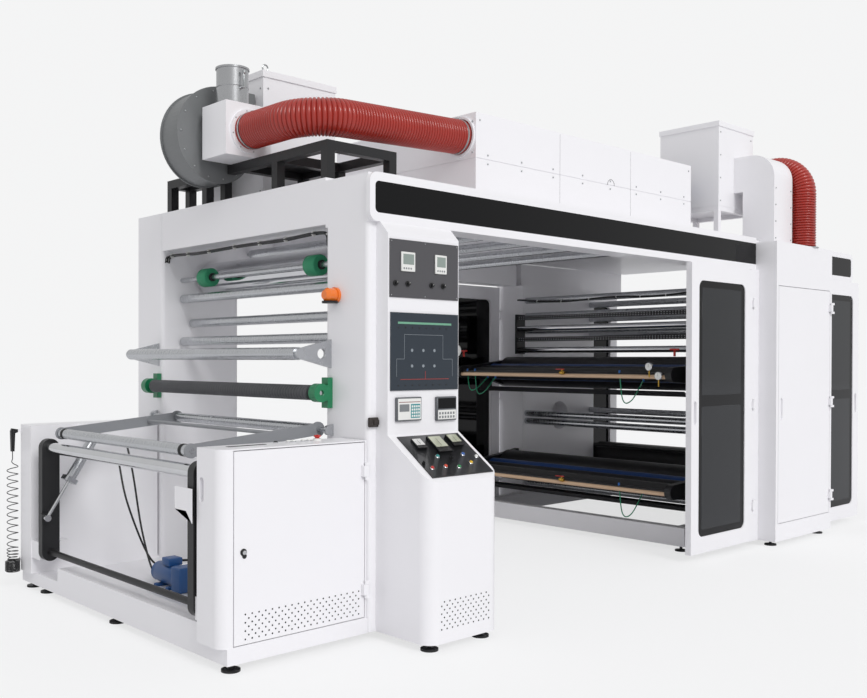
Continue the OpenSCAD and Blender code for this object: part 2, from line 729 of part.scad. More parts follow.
module left_heater() in_frame() color("whitesmoke")
    translate([heater_l_x, heater_l_y, roof_z]) heater_box(heater_l_w, heater_l_l, heater_l_h);

// The right heater stays clear of the tunnel's end.
heater_gap = 60;
right_heater_x = max(drive_x0 - 40, tunnel_x + tunnel_l + heater_gap);
right_heater_y = 300;
heater_r_l = 610;
leg = 45;
cover_x = right_heater_x + 275;
cover_w = 340;
hose_r_x = cover_x + cover_w + 30 + hose_d / 2;
hose_r_z = roof_z + 700;
outlet_y = right_heater_y + 150;
module right_heater() in_frame() color("whitesmoke") {
    translate([right_heater_x, right_heater_y, roof_z + stand_h])
        heater_box(heater_r_w, heater_r_l, heater_r_h);
    for (x = [right_heater_x + 10, right_heater_x + heater_r_w - 10 - leg],
            y = [right_heater_y + 10, right_heater_y + heater_r_l - 10 - leg])
        slab([x, y, roof_z], [x + leg, y + leg, roof_z + stand_h - leg]);
    difference() {
        slab([right_heater_x + 10, right_heater_y + 10, roof_z + stand_h - leg],
            [right_heater_x + heater_r_w - 10, right_heater_y + heater_r_l - 10, roof_z + stand_h]);
        slab([right_heater_x + 10 + leg, right_heater_y + 10 + leg, roof_z + stand_h - leg - 1],
            [right_heater_x + heater_r_w - 10 - leg, right_heater_y + heater_r_l - 10 - leg,
                roof_z + stand_h - 10]);
    }
    // outlet box that the right hose leaves from
    slab([right_heater_x + heater_r_w - lid_over - 1, outlet_y, hose_r_z - hose_d / 2 - 25],
        [hose_r_x + hose_d / 2 + 20, outlet_y + 300, hose_r_z + hose_d / 2 + 25]);
}

hose_bend = 260;
hose_l_y = tunnel_y + hose_d / 2 + 25;
// Rise of the hose's run to the tunnel over its length
hose_rise = 55;
module left_hose() in_frame() color("firebrick") {
    x = box_mid[0];
    run = tunnel_x - x - hose_bend;
    tilt = atan2(hose_rise, run);
    z = fan_z;
    translate([x, hose_l_y + hose_bend, z]) rotate([-90, 0, 0])
        cylinder(d = hose_d, h = box_y - 14 - hose_l_y - hose_bend);
    translate([x + hose_bend, hose_l_y + hose_bend, z]) rotate([0, 0, 180]) rotate_extrude(angle = 90)
        translate([hose_bend, 0]) circle(d = hose_d);
    translate([x + hose_bend, hose_l_y, z]) sphere(d = hose_d);
    translate([x + hose_bend, hose_l_y, z]) rotate([0, 90 - tilt, 0])
        cylinder(d = hose_d, h = run / cos(tilt) - hose_d / 2 * sin(tilt) - seat_gap);
}

hose_r_bend = 250;
hose_r_y = outlet_y - 300;
module right_hose() in_frame() color("firebrick") {
    translate([hose_r_x, hose_r_y, hose_r_z]) rotate([-90, 0, 0]) cylinder(d = hose_d, h = outlet_y - hose_r_y);
    translate([hose_r_x, hose_r_y, hose_r_z - hose_r_bend]) rotate([90, 0, -90])
        rotate_extrude(angle = 90) translate([hose_r_bend, 0]) circle(d = hose_d);
    translate([hose_r_x, hose_r_y - hose_r_bend, drive_top])
        cylinder(d = hose_d, h = hose_r_z - hose_r_bend - drive_top);
}

module drying_tunnel() in_frame() color("whitesmoke") {
    slab([tunnel_x, tunnel_y, roof_z], [tunnel_x + tunnel_l, tunnel_y + tunnel_w, roof_z + tunnel_h / 2 - 3]);
    slab([tunnel_x + 4, tunnel_y + 4, roof_z + tunnel_h / 2 - 3],
        [tunnel_x + tunnel_l - 4, tunnel_y + tunnel_w - 4, roof_z + tunnel_h / 2 + 3]);
    slab([tunnel_x, tunnel_y, roof_z + tunnel_h / 2 + 3],
        [tunnel_x + tunnel_l, tunnel_y + tunnel_w, roof_z + tunnel_h]);
    // flange of the hose on the end wall
    translate([tunnel_x + 1, hose_l_y, fan_z + hose_rise]) rotate([0, -90, 0]) difference() {
        cylinder(d = hose_d + 40, h = 16);
        translate([0, 0, 1]) cylinder(d = hose_d + 2 * clear, h = 30);
    }
}

// Sheet-metal cover of the second duct: straight sides, a quarter bend at the top.
cover_top = 770;
cover_bend = 210;
cover_y0 = -75;
module duct_cover() in_frame() color("whitesmoke") {
    top = roof_z + cover_top;
    back = right_heater_y - 80;
    front = right_heater_y + lid_over - seat_gap;
    bend_mid = [cover_y0 + cover_bend, top - cover_bend];
    translate([cover_x, 0, 0]) rotate([90, 0, 90]) linear_extrude(cover_w)
        polygon(concat(
            [[cover_y0, drive_top], [60 - seat_gap, drive_top], [60 - seat_gap, roof_z], [back, roof_z]],
            [[back, top - 315], [front, top - 315], [front, top]],
            [for (a = [90 : 6 : 180]) bend_mid + cover_bend * [cos(a), sin(a)]]));
}

module print_base() in_frame() color("whitesmoke") {
    x0 = door_x0 + 350;
    for (y = [frame_y + 60, machine_w - frame_y - 180])
        slab([x0, y, foot_h], [end_x - 60, y + 120, 200]);
    slab([x0, frame_y + 60, foot_h], [x0 + 100, machine_w - frame_y - 60, 200]);
    slab([end_x - 160, frame_y + 60, foot_h], [end_x - 60, machine_w - frame_y - 60, 200]);
}

module print_frame() {
    translate([0, frame_y + frame_t, 0]) rotate([90, 0, 0]) linear_extrude(frame_t) difference() {
        translate([frame_x0, 200]) square([frame_x1 - frame_x0, header_z - 220]);
        for (z = [low_unit_z + unit_pitch / 2]) translate([frame_mid_x, z]) circle(d = 300);
    }
}
module near_print_frame() in_frame() color("whitesmoke") print_frame();
module far_print_frame() in_frame() color("whitesmoke") far_side() print_frame();

leaf_t = 20;
hinge_heights = [330, 1190, 2050];

module drive_cabinet() {
    difference() {
        union() {
            slab([drive_x0, drive_front, foot_h], [drive_x1, frame_y, drive_top]);
            slab([post_x, -60, foot_h], [drive_x0, frame_y, header_z - 20]);
            slab([drive_x1, -60, foot_h], [right_hinge_x - 15, frame_y, header_z - 20]);
        }
        slab([drive_x0 + 43 - door_gap, drive_front - 1, drive_door_z0 - door_gap],
            [drive_x1 - 40 + door_gap, drive_front + leaf_t + door_gap, drive_door_z1 + door_gap]);
    }
    for (z = hinge_heights) {
        hinge_pin(hinge_x, hinge_y, z, 30, 30);
        hinge_pin(right_hinge_x, hinge_y, z, -30, 30);
        hinge_pin(drive_x1 - 34, drive_front - hinge_off, z, 30, lug_reach);
    }
}
module near_drive_cabinet() in_frame() color("whitesmoke") drive_cabinet();
module far_drive_cabinet() in_frame() color("whitesmoke") far_side() drive_cabinet();

// A grip pocket in a door's face: a vertical slot with round ends.
grip_z = 1180;
module grip(x, y, depth)
    translate([x, y - 1, grip_z]) rotate([-90, 0, 0]) linear_extrude(depth + 1) hull_slot(38, 190);

module drive_door() {
    difference() {
        slab([drive_x0 + 43, drive_front, drive_door_z0], [drive_x1 - 40, drive_front + leaf_t, drive_door_z1]);
        grip(drive_x0 + 43 + 55, drive_front, leaf_t - 6);
    }
    for (z = hinge_heights) {
        hinge_knuckle(drive_x1 - 34, drive_front - hinge_off, z, -30);
        slab([drive_x1 - 64, drive_front - 10, z], [drive_x1 - 42, drive_front + 4, z + knuckle_h]);
    }
}
module near_drive_door() in_frame() color("whitesmoke") drive_door();
module far_drive_door() in_frame() color("whitesmoke") far_side() drive_door();

door_z0 = 60;
door_z1 = header_z - 30;
module pane_outline(x, w) { translate([x + 110, 190]) round_plan(w - 240, 2045, 60); }
module glazed_leaf(x, w, hx, dir) {
    difference() {
        translate([0, door_y + door_t, 0]) rotate([90, 0, 0]) linear_extrude(door_t) difference() {
            translate([x, door_z0]) square([w, door_z1 - door_z0]);
            pane_outline(x, w);
        }
        grip(dir < 0 ? x + 55 : x + w - 65, door_y, door_t - 20);
    }
    for (z = hinge_heights) hinge_knuckle(hx, hinge_y, z, dir * 30);
}
module door_pane(x, w)
    translate([0, door_y + 8 + glass_t, 0]) rotate([90, 0, 0]) linear_extrude(glass_t) pane_outline(x, w);

module left_near_door() in_frame() color("whitesmoke") glazed_leaf(door_x0, door_w, hinge_x, -1);
module left_far_door() in_frame() color("whitesmoke") far_side() glazed_leaf(door_x0, door_w, hinge_x, -1);
module right_near_door() in_frame() color("whitesmoke")
    glazed_leaf(right_hinge_x + 15, right_door_w, right_hinge_x, 1);
module right_far_door() in_frame() color("whitesmoke") far_side()
    glazed_leaf(right_hinge_x + 15, right_door_w, right_hinge_x, 1);
module door_glass_left_near() in_frame() color("black") door_pane(door_x0, door_w);
module door_glass_left_far() in_frame() color("black") far_side() door_pane(door_x0, door_w);
module door_glass_right_near() in_frame() color("black") door_pane(right_hinge_x + 15, right_door_w);
module door_glass_right_far() in_frame() color("black") far_side() door_pane(right_hinge_x + 15, right_door_w);

// Positions along a print unit, measured from the side frame's edge.
impression_at = impression_d / 2 + 40;
plate_at = impression_at + (impression_d + plate_d) / 2 + clear;
anilox_at = plate_at + (plate_d + anilox_d) / 2 + clear;

// Side plate of a print unit: deep at the frame, slender and rounded at the tip, with round bosses
// for the impression cylinder, the plate cylinder and the anilox roller.
module unit_plate(y) {
    translate([0, y + bearing_t, 0]) rotate([90, 0, 0]) linear_extrude(bearing_t) difference() {
        union() {
            polygon([[0, -150], [impression_at, -150], [plate_at, -85], [unit_reach - 40, -60],
                [unit_reach - 40, 60], [anilox_at, 75], [impression_at, 120], [0, 150]]);
            translate([unit_reach - 40, 0]) circle(r = 60);
            translate([plate_at, 0]) circle(r = 95);
        }
        translate([plate_at, 0]) circle(d = 40 + 2 * seat_gap);
    }
}

// One print unit; X is measured from the frame's edge outwards.
module print_unit() {
    for (y = [units_near_y, units_far_y - bearing_t]) unit_plate(y);
    y0 = units_near_y + bearing_t;
    y1 = units_far_y - bearing_t;
    bar_y(impression_at, 0, impression_d, y0 + 20, y1 - 20);
    bar_y(impression_at, 0, 60, y0, y1);
    bar_y(anilox_at, 0, anilox_d, y0 + 20, y1 - 20);
    bar_y(anilox_at, 0, 40, y0, y1);
    // doctor-blade chamber: a wedge whose nose faces the anilox roller
    translate([anilox_at, y1, 0]) rotate([90, 0, 0]) linear_extrude(y1 - y0)
        polygon([[anilox_d / 2 + clear, -12], [anilox_d / 2 + 35, -45], [anilox_d / 2 + 75, -45],
            [anilox_d / 2 + 75, 45], [anilox_d / 2 + 35, 45], [anilox_d / 2 + clear, 12]]);
    // ink tray with a raised lip
    translate([plate_at, y1, -190]) rotate([90, 0, 0]) linear_extrude(y1 - y0)
        polygon([[-60, 0], [150, 0], [190, 40], [184, 46], [146, 22], [-60, 22]]);
    for (y = [units_near_y, units_far_y - bearing_t])
        slab([plate_at, y, -190], [plate_at + 120, y + bearing_t, -80]);
    // tie rods
    bar_y(unit_reach - 40, 0, 36, y0, y1);
    bar_y(40, 118, 30, y0, y1);
}

module on_left() { translate([frame_x0, 0, 0]) mirror([1, 0, 0]) children(); }
module on_right() { translate([frame_x1, 0, 0]) children(); }

module left_units() in_frame() color("dimgray") on_left()
    for (z = [low_unit_z, low_unit_z + unit_pitch]) translate([0, 0, z]) print_unit();
module right_units() in_frame() color("dimgray") on_right()
    for (z = [low_unit_z, low_unit_z + unit_pitch]) translate([0, 0, z]) print_unit();

module plate_cylinder(z) {
    bar_y(plate_at, z, plate_d, units_near_y + bearing_t + 20, units_far_y - bearing_t - 20);
    bar_y(plate_at, z, 40, units_near_y + 2, units_far_y - 2);
}
module plate_cylinder_1() in_frame() color("steelblue") on_left() plate_cylinder(low_unit_z);
module plate_cylinder_2() in_frame() color("steelblue") on_left() plate_cylinder(low_unit_z + unit_pitch);
module plate_cylinder_3() in_frame() color("steelblue") on_right() plate_cylinder(low_unit_z);
module plate_cylinder_4() in_frame() color("steelblue") on_right() plate_cylinder(low_unit_z + unit_pitch);

module guide_rollers() in_frame() color("silver")
    for (x = [frame_x0 + 60, frame_x1 - 60],
            z = [320, 960, 1040, header_z - 500, header_z - 340, header_z - 180])
        bar_y(x, z, idler_d, frame_y + frame_t, machine_w - frame_y - frame_t);

// Air gun on its hook, and its curly hose, which leaves the cabinet in a bundle of loose turns.
module air_gun() in_frame() color("black")
    translate([gun_x, gun_y + 12, 0]) rotate([90, 0, 0]) linear_extrude(24)
        polygon([[-10, gun_z], [10, gun_z], [15, gun_z + 125], [gun_head - 0.3, gun_z + 132],
            [gun_head - 0.3, gun_z + 152], [-6, gun_z + 160], [-14, gun_z + 140]]);
module air_hose() in_frame() color("black") translate([gun_x, gun_y, 0]) {
    translate([0, 0, curl_z]) cylinder(d = curl_d, h = curl_top - curl_z);
    translate([0, 0, curl_top]) cylinder(d = 10, h = gun_z - curl_top);
    rotate_extrude() polygon([[0, bundle_z], [bundle_d / 2 - 15, bundle_z], [bundle_d / 2, bundle_z + 15],
        [bundle_d / 2, curl_z - 15], [bundle_d / 2 - 15, curl_z], [0, curl_z]]);
}

rewinder_base();
levelling_feet();
near_rewind_cabinet();
near_rewind_door();
far_rewind_cabinet();
near_tower_housing();
far_tower_housing();
header_end_beam();
near_fascia();
far_fascia();
fascia_glass();
roof_deck();
bridge_rollers();
control_cabinet();
control_panels();
beacon();
unloading_arms();
reel_shaft();
arm_cylinder();
cylinder_rod();
lay_on_arms();
lay_on_roller();
tower_rollers();
spreader_roller();
spreader_bearings();
pull_drum();
platform_frame();
mixing_box();
intake_stack();
fan_scroll();
left_heater();
right_heater();
left_hose();
right_hose();
drying_tunnel();
duct_cover();
print_base();
near_print_frame();
far_print_frame();
near_drive_cabinet();
far_drive_cabinet();
near_drive_door();
far_drive_door();
left_near_door();
left_far_door();
right_near_door();
right_far_door();
door_glass_left_near();
door_glass_left_far();
door_glass_right_near();
door_glass_right_far();
left_units();
right_units();
plate_cylinder_1();
plate_cylinder_2();
plate_cylinder_3();
plate_cylinder_4();
guide_rollers();
air_gun();
air_hose();
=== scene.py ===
"""Builds the looks of a stack-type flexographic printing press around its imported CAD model.

Lengths are in metres. Places along the machine are measured from a datum on the floor at the near
end of the rewinder's front beam: X runs along the machine, Y across it to the far side, Z up.
"""

import math

import bpy
import numpy as np
from bpy.props import FloatProperty, FloatVectorProperty, IntProperty, PointerProperty
from mathutils import Matrix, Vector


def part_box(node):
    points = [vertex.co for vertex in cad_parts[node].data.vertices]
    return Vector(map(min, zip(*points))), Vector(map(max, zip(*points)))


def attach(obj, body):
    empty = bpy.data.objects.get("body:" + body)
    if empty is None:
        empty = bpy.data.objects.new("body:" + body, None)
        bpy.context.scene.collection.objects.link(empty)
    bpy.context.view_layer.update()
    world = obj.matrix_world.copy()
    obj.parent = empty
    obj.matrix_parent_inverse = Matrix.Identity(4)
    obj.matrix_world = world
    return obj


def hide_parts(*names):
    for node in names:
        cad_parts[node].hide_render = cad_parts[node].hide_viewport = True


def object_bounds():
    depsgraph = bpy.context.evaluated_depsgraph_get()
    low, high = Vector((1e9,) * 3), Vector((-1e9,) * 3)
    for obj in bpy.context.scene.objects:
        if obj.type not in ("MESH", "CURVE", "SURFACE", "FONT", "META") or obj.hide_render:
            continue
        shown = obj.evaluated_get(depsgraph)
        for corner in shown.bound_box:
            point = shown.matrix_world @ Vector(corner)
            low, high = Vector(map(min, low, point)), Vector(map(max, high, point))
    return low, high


bl_info = {
    "name": "Flexographic Press Looks",
    "version": (1, 0, 0),
    "blender": (4, 5, 0),
    "location": "View3D > Sidebar > Press",
    "description": "Finishes, fittings, camera and stage of a stack-type flexographic printing press",
    "category": "Object",
}

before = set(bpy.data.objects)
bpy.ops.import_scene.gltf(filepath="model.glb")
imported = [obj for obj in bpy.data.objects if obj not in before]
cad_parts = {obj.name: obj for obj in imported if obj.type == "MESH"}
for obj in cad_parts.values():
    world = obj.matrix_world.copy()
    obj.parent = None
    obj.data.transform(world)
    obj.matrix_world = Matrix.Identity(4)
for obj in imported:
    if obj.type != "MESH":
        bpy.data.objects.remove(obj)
CAD_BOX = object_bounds()
DATUM = np.array([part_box("rewinder_base")[0].x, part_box("rewinder_base")[0].y, 0.0])
TAU = 2 * math.pi


def hex_linear(code):
    """An sRGB hex colour as linear red, green and blue: c/12.92 below 0.04045, else ((c+0.055)/1.055)^2.4."""
    parts = [int(code[i : i + 2], 16) / 255 for i in (1, 3, 5)]
    return tuple(c / 12.92 if c <= 0.04045 else ((c + 0.055) / 1.055) ** 2.4 for c in parts)


def spot(x, y, z):
    """A place measured from the datum, in the row frame."""
    return DATUM + np.array([x, y, z])


def span(node):
    """Lowest and highest corner of a CAD node, measured from the datum."""
    low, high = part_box(node)
    return np.array(low) - DATUM, np.array(high) - DATUM


WIDTH = span("far_tower_housing")[1][1] + span("near_tower_housing")[0][1]


# Sizes and colours that a user would change

def colour(name, code, description):
    return FloatVectorProperty(
        name=name, description=description, subtype="COLOR", size=3, min=0, max=1, default=hex_linear(code)
    )


def length(name, value, description):
    return FloatProperty(name=name, description=description, unit="LENGTH", min=0, default=value)


class PressFinishes(bpy.types.PropertyGroup):
    """Colours of the finishes."""

    coat: colour("Powder coat", "#F3F2F5", "Main colour of the sheet-metal housings")
    glass: colour("Dark glass", "#08080A", "Back-painted glass of the doors and fascias")
    hose: colour("Hose", "#A52A1E", "Silicone-coated fabric of the corrugated hoses")
    enamel: colour("Green enamel", "#147A4E", "Bearing housings and rubber wheels")
    fan: colour("Fan grey", "#7D7F80", "Hammer paint of the fan housing")
    lens: colour("Beacon lens", "#F07818", "Moulded lens of the beacon")
    plate: colour("Plate", "#1C3F78", "Photopolymer plate on the plate cylinders")
    rod: colour("Anodised rod", "#D8B899", "Beige anodised rods of the print units")
    floor: colour("Floor", "#E9E9EB", "Studio floor")


class PressSizes(bpy.types.PropertyGroup):
    """Sizes of the small fittings."""

    vent_d: length("Vent hole", 0.0095, "Diameter of the punched vent holes")
    vent_pitch: length("Vent pitch", 0.042, "Distance between vent holes along a row")
    vent_row: length("Vent row", 0.0213, "Distance between rows of vent holes")
    hose_pitch: length("Hose pitch", 0.023, "Distance between the rings of a corrugated hose")
    hose_depth: length("Hose depth", 0.012, "Depth of the hose's corrugation")
    loom_d: length("Loom", 0.016, "Diameter of the cable looms")
    screw_d: length("Screw head", 0.014, "Diameter of the pan-head screws")
    button_d: length("Button", 0.024, "Diameter of the push buttons")
    groove_turns: IntProperty(
        name="Groove turns", description="Turns of the spreader roller's groove on each half", default=34, min=4
    )


def sizes():
    return bpy.context.scene.press_sizes


def paints():
    return bpy.context.scene.press_finishes


# Meshes: a shape is (points, quads, triangles) as arrays

def sheet_of(points, wrap_u=False, wrap_v=False):
    """A surface through a grid of points (rows, columns, 3): each cell is one quad; wrapping joins
    the last row or column to the first."""
    rows, cols = points.shape[:2]
    number = np.arange(rows * cols).reshape(rows, cols)
    if wrap_u:
        number = np.vstack([number, number[:1]])
    if wrap_v:
        number = np.hstack([number, number[:, :1]])
    quads = np.stack([number[:-1, :-1], number[:-1, 1:], number[1:, 1:], number[1:, :-1]], -1)
    return points.reshape(-1, 3), quads.reshape(-1, 4), np.zeros((0, 3), int)


def join(*shapes):
    """Several shapes as one: point lists follow each other and face numbers are moved on."""
    starts = np.cumsum([0] + [len(s[0]) for s in shapes[:-1]])
    return (
        np.vstack([s[0] for s in shapes]),
        np.vstack([s[1] + n for s, n in zip(shapes, starts)]),
        np.vstack([s[2] + n for s, n in zip(shapes, starts)]),
    )


def turned(profile, sides=32):
    """A lathe shape about Z: each (radius, height) of the profile goes round a circle of equal
    angles. A radius of 0 at an end closes it with a fan."""
    profile = np.asarray(profile, float)
    around = np.arange(sides) * TAU / sides
    ring = np.stack([np.cos(around), np.sin(around)], -1)
    grid = np.concatenate(
        [profile[:, None, :1] * ring[None], np.repeat(profile[:, None, 1:], sides, 1)], -1
    )
    points, quads, tris = sheet_of(grid, wrap_v=True)
    caps = []
    for row, flip in ((0, False), (len(profile) - 1, True)):
        centre = len(points)
        points = np.vstack([points, [[0, 0, profile[row, 1]]]])
        rim = row * sides + np.arange(sides)
        nxt = row * sides + (np.arange(sides) + 1) % sides
        mid = np.full(sides, centre)
        caps.append(np.stack([nxt, rim, mid] if not flip else [rim, nxt, mid], -1))
    return points, quads, np.vstack([tris] + caps)


def soft_box(low, high, radius, steps=2):
    """A box with rounded edges: points of a sphere of the edge radius, each pushed out by its
    octant's sign to the box's corners, with flat lids at top and bottom."""
    low, high = np.asarray(low, float), np.asarray(high, float)
    half = (high - low) / 2
    radius = min(radius, *(half * 0.999))
    quarter = np.linspace(0, math.pi / 2, steps + 1)
    lon = np.concatenate([quarter + k * math.pi / 2 for k in range(4)])
    sign = np.repeat([[1, 1], [-1, 1], [-1, -1], [1, -1]], steps + 1, 0)
    lat = np.concatenate([quarter - math.pi / 2, quarter])
    side = np.repeat([-1, 1], steps + 1)
    ring = np.cos(lat)[:, None, None] * np.stack([np.cos(lon), np.sin(lon)], -1)[None]
    flat = ring * radius + sign[None] * (half[:2] - radius)
    up = np.sin(lat) * radius + side * (half[2] - radius)
    grid = np.concatenate([flat, np.repeat(up[:, None, None], len(lon), 1)], -1)
    points, quads, tris = sheet_of(grid + (low + high) / 2, wrap_v=True)
    count = len(lon)
    fan = np.arange(1, count - 1)
    bottom = np.stack([fan + 1, fan, np.zeros_like(fan)], -1)
    top = np.stack([fan, fan + 1, np.zeros_like(fan)], -1) + (len(lat) - 1) * count
    return points, quads, np.vstack([tris, bottom, top])


def tube(path, radius, sides=12, up=(0, 0, 1), closed_ends=True):
    """A round tube along a path: at each point, two axes square to the path's direction are found
    from a steady up direction, and a circle of the radius there is drawn in them."""
    path = np.asarray(path, float)
    radius = np.broadcast_to(radius, len(path)).astype(float)
    along = np.gradient(path, axis=0)
    along /= np.linalg.norm(along, axis=1)[:, None]
    side = np.cross(np.broadcast_to(np.asarray(up, float), along.shape), along)
    side /= np.linalg.norm(side, axis=1)[:, None]
    top = np.cross(along, side)
    around = np.arange(sides) * TAU / sides
    ring = np.cos(around)[None, :, None] * side[:, None] + np.sin(around)[None, :, None] * top[:, None]
    points, quads, tris = sheet_of(path[:, None] + radius[:, None, None] * ring, wrap_v=True)
    if closed_ends:
        fan = np.arange(1, sides - 1)
        start = np.stack([fan + 1, fan, np.zeros_like(fan)], -1)
        tris = np.vstack([tris, start, start[:, ::-1] + (len(path) - 1) * sides])
    return points, quads, tris


def smooth_path(points, count=80):
    """A smooth curve through a few points: each coordinate is a Catmull-Rom cubic of the position."""
    p = np.asarray(points, float)
    p = np.vstack([2 * p[0] - p[1], p, 2 * p[-1] - p[-2]])
    t = np.linspace(0, len(p) - 3 - 1e-9, count)
    k = t.astype(int)
    f = (t - k)[:, None]
    a, b, c, d = p[k], p[k + 1], p[k + 2], p[k + 3]
    return 0.5 * (2 * b + (c - a) * f + (2 * a - 5 * b + 4 * c - d) * f**2 + (3 * b - 3 * c + d - a) * f**3)


def moved(shape, offset):
    return shape[0] + np.asarray(offset, float), shape[1], shape[2]


def facing(shape, axis):
    """Turns a shape made along Z so that it points along another axis, by a fixed change of axes."""
    x, y, z = shape[0].T
    turn = {"+x": (z, y, -x), "-x": (-z, y, x), "+y": (x, z, -y), "-y": (x, -z, y), "+z": (x, y, z),
            "-z": (x, -y, -z)}[axis]
    return np.stack(turn, -1), shape[1], shape[2]


def copies(shape, places):
    """One shape repeated at many places: every place is added to every point at once."""
    places = np.asarray(places, float).reshape(-1, 3)
    count, size = len(places), len(shape[0])
    points = (places[:, None] + shape[0][None]).reshape(-1, 3)
    step = (np.arange(count) * size)[:, None, None]
    return points, (shape[1][None] + step).reshape(-1, 4), (shape[2][None] + step).reshape(-1, 3)


def mirrored(shape):
    """The same shape on the far side of the machine: Y becomes the machine's width less Y."""
    points = shape[0].copy()
    points[:, 1] = WIDTH - points[:, 1]
    return points, shape[1][:, ::-1], shape[2][:, ::-1]


def piece(name, shape, finish, body="root", smooth=True, replaces=()):
    """Makes a mesh object of a shape measured from the datum, with its finish, and lets it ride."""
    points, quads, tris = shape
    mesh = bpy.data.meshes.new(name)
    mesh.from_pydata((points + DATUM).tolist(), [], quads.tolist() + tris.tolist())
    mesh.polygons.foreach_set("use_smooth", np.full(len(mesh.polygons), smooth))
    mesh.update()
    if smooth:
        mesh.set_sharp_from_angle(angle=math.radians(40))
    mesh.materials.append(finish)
    thing = bpy.data.objects.new(name, mesh)
    bpy.context.scene.collection.objects.link(thing)
    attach(thing, body)
    if replaces:
        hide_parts(*replaces)
    return thing


# Finishes

def put(mat, kind, sockets=None, links=None, **settings):
    """Adds one node with its settings, socket values and links, and gives it back."""
    made = mat.node_tree.nodes.new(kind)
    for key, value in settings.items():
        setattr(made, key, value)
    for key, value in (sockets or {}).items():
        made.inputs[key].default_value = value
    for key, (source, output) in (links or {}).items():
        mat.node_tree.links.new(source.outputs[output], made.inputs[key])
    return made


def blank(name):
    """A new material with an empty node tree."""
    mat = bpy.data.materials.new(name)
    mat.use_nodes = True
    mat.node_tree.nodes.clear()
    return mat


def rgba(rgb, factor=1.0):
    return tuple(min(1.0, c * factor) for c in rgb) + (1.0,)


MADE = {}


def kept(name, make):
    """The material of that name, made once."""
    if name not in MADE:
        MADE[name] = make(name)
    return MADE[name]


def coated(name, rgb, roughness, grain_mm, bump, metallic=0.0, coat=0.0, vary=0.05, spec=0.5):
    """A painted or moulded surface: broad patches of slightly different tone, and a fine grain
    that is drawn as bump and as small changes of roughness."""
    mat = blank(name)
    place = put(mat, "ShaderNodeTexCoord")
    patch = put(mat, "ShaderNodeTexNoise", {"Scale": 1.7, "Detail": 3.0}, {"Vector": (place, "Object")})
    grain = put(
        mat, "ShaderNodeTexNoise", {"Scale": 1000.0 / grain_mm, "Detail": 2.0}, {"Vector": (place, "Object")}
    )
    tone = put(
        mat, "ShaderNodeMix", {6: rgba(rgb, 1 - vary), 7: rgba(rgb, 1 + vary)}, {0: (patch, "Fac")},
        data_type="RGBA",
    )
    gloss = put(
        mat, "ShaderNodeMapRange", {"To Min": roughness * 0.88, "To Max": roughness * 1.12}, {"Value": (grain, "Fac")}
    )
    raised = put(mat, "ShaderNodeBump", {"Strength": bump, "Distance": 0.0004}, {"Height": (grain, "Fac")})
    shader = put(
        mat, "ShaderNodeBsdfPrincipled", {"Metallic": metallic, "Coat Weight": coat, "Specular IOR Level": spec},
        {"Base Color": (tone, 2), "Roughness": (gloss, 0), "Normal": (raised, 0)},
    )
    put(mat, "ShaderNodeOutputMaterial", {}, {"Surface": (shader, 0)})
    return mat


def powder_coat(name="powder_coated_steel"):
    """Polyester powder coat on sheet steel, semi-gloss: an even skin with a slight orange peel."""
    return kept(name, lambda n: coated(n, tuple(paints().coat), 0.34, 3.0, 0.10, coat=0.15, vary=0.012))


def dark_glass():
    """Toughened glass painted black on the back: polished, so it mirrors the room."""
    return kept("back_painted_glass", lambda n: coated(n, tuple(paints().glass), 0.06, 60.0, 0.0, spec=0.22, vary=0.1))


def smoked_pane():
    """Smoked acrylic of the door windows: a shade lighter than the painted glass round it."""
    return kept("smoked_acrylic", lambda n: coated(n, hex_linear("#232528"), 0.08, 80.0, 0.0, spec=0.3, vary=0.2))


def black_coat():
    """Satin black enamel on machined steel."""
    return kept("black_enamel", lambda n: coated(n, hex_linear("#1A1A1C"), 0.42, 1.5, 0.15, vary=0.2))


def black_plastic():
    """Moulded ABS, black, with the fine grain of an etched mould."""
    return kept("black_abs", lambda n: coated(n, hex_linear("#121214"), 0.36, 0.8, 0.2, vary=0.15))


def black_rubber_and_hole_shade():
    """Black nitrile rubber, dull; the same finish is the painted shade inside the punched vent holes."""
    return kept("nitrile_rubber_and_hole_shade", lambda n: coated(n, hex_linear("#1B1B1B"), 0.72, 1.2, 0.3, vary=0.2))


def spreader_rubber():
    """Dark grey rubber of the spreader roller, ground and a little dusty."""
    return kept("spreader_rubber", lambda n: coated(n, hex_linear("#4C4D50"), 0.5, 1.0, 0.25, vary=0.2))


def grey_enamel():
    """Mid-grey enamel of the swing bars and rails."""
    return kept("grey_enamel", lambda n: coated(n, hex_linear("#8E9094"), 0.4, 2.0, 0.12, vary=0.06))


def hammer_paint():
    """Grey hammer paint on the fan: shallow round dimples some 6 mm across."""
    return kept("grey_hammer_paint", lambda n: coated(n, tuple(paints().fan), 0.45, 6.0, 0.5, metallic=0.3, vary=0.08))


def green_enamel():
    """Green enamel on cast bearing housings: cast skin shows through the paint."""
    return kept("green_enamel", lambda n: coated(n, tuple(paints().enamel), 0.38, 2.5, 0.35, coat=0.3, vary=0.12))


def green_rubber():
    """Green nitrile rubber of the nip wheels, ground on the tread."""
    return kept("green_rubber", lambda n: coated(n, hex_linear("#2B8A62"), 0.6, 1.0, 0.3, vary=0.15))


def hose_fabric():
    """Silicone-coated glass fabric over a wire helix: a soft sheen on each ring."""
    return kept("coated_hose_fabric", lambda n: coated(n, tuple(paints().hose), 0.34, 2.2, 0.4, coat=0.35, vary=0.25))


def lens_plastic():
    """Orange polycarbonate lens, glossy."""
    return kept("orange_polycarbonate", lambda n: coated(n, tuple(paints().lens), 0.16, 20.0, 0.05, coat=0.8, vary=0.1))


def photopolymer():
    """Blue photopolymer plate wrapped on the cylinder, with a satin face."""
    return kept("photopolymer_plate", lambda n: coated(n, tuple(paints().plate), 0.35, 4.0, 0.2, vary=0.3))


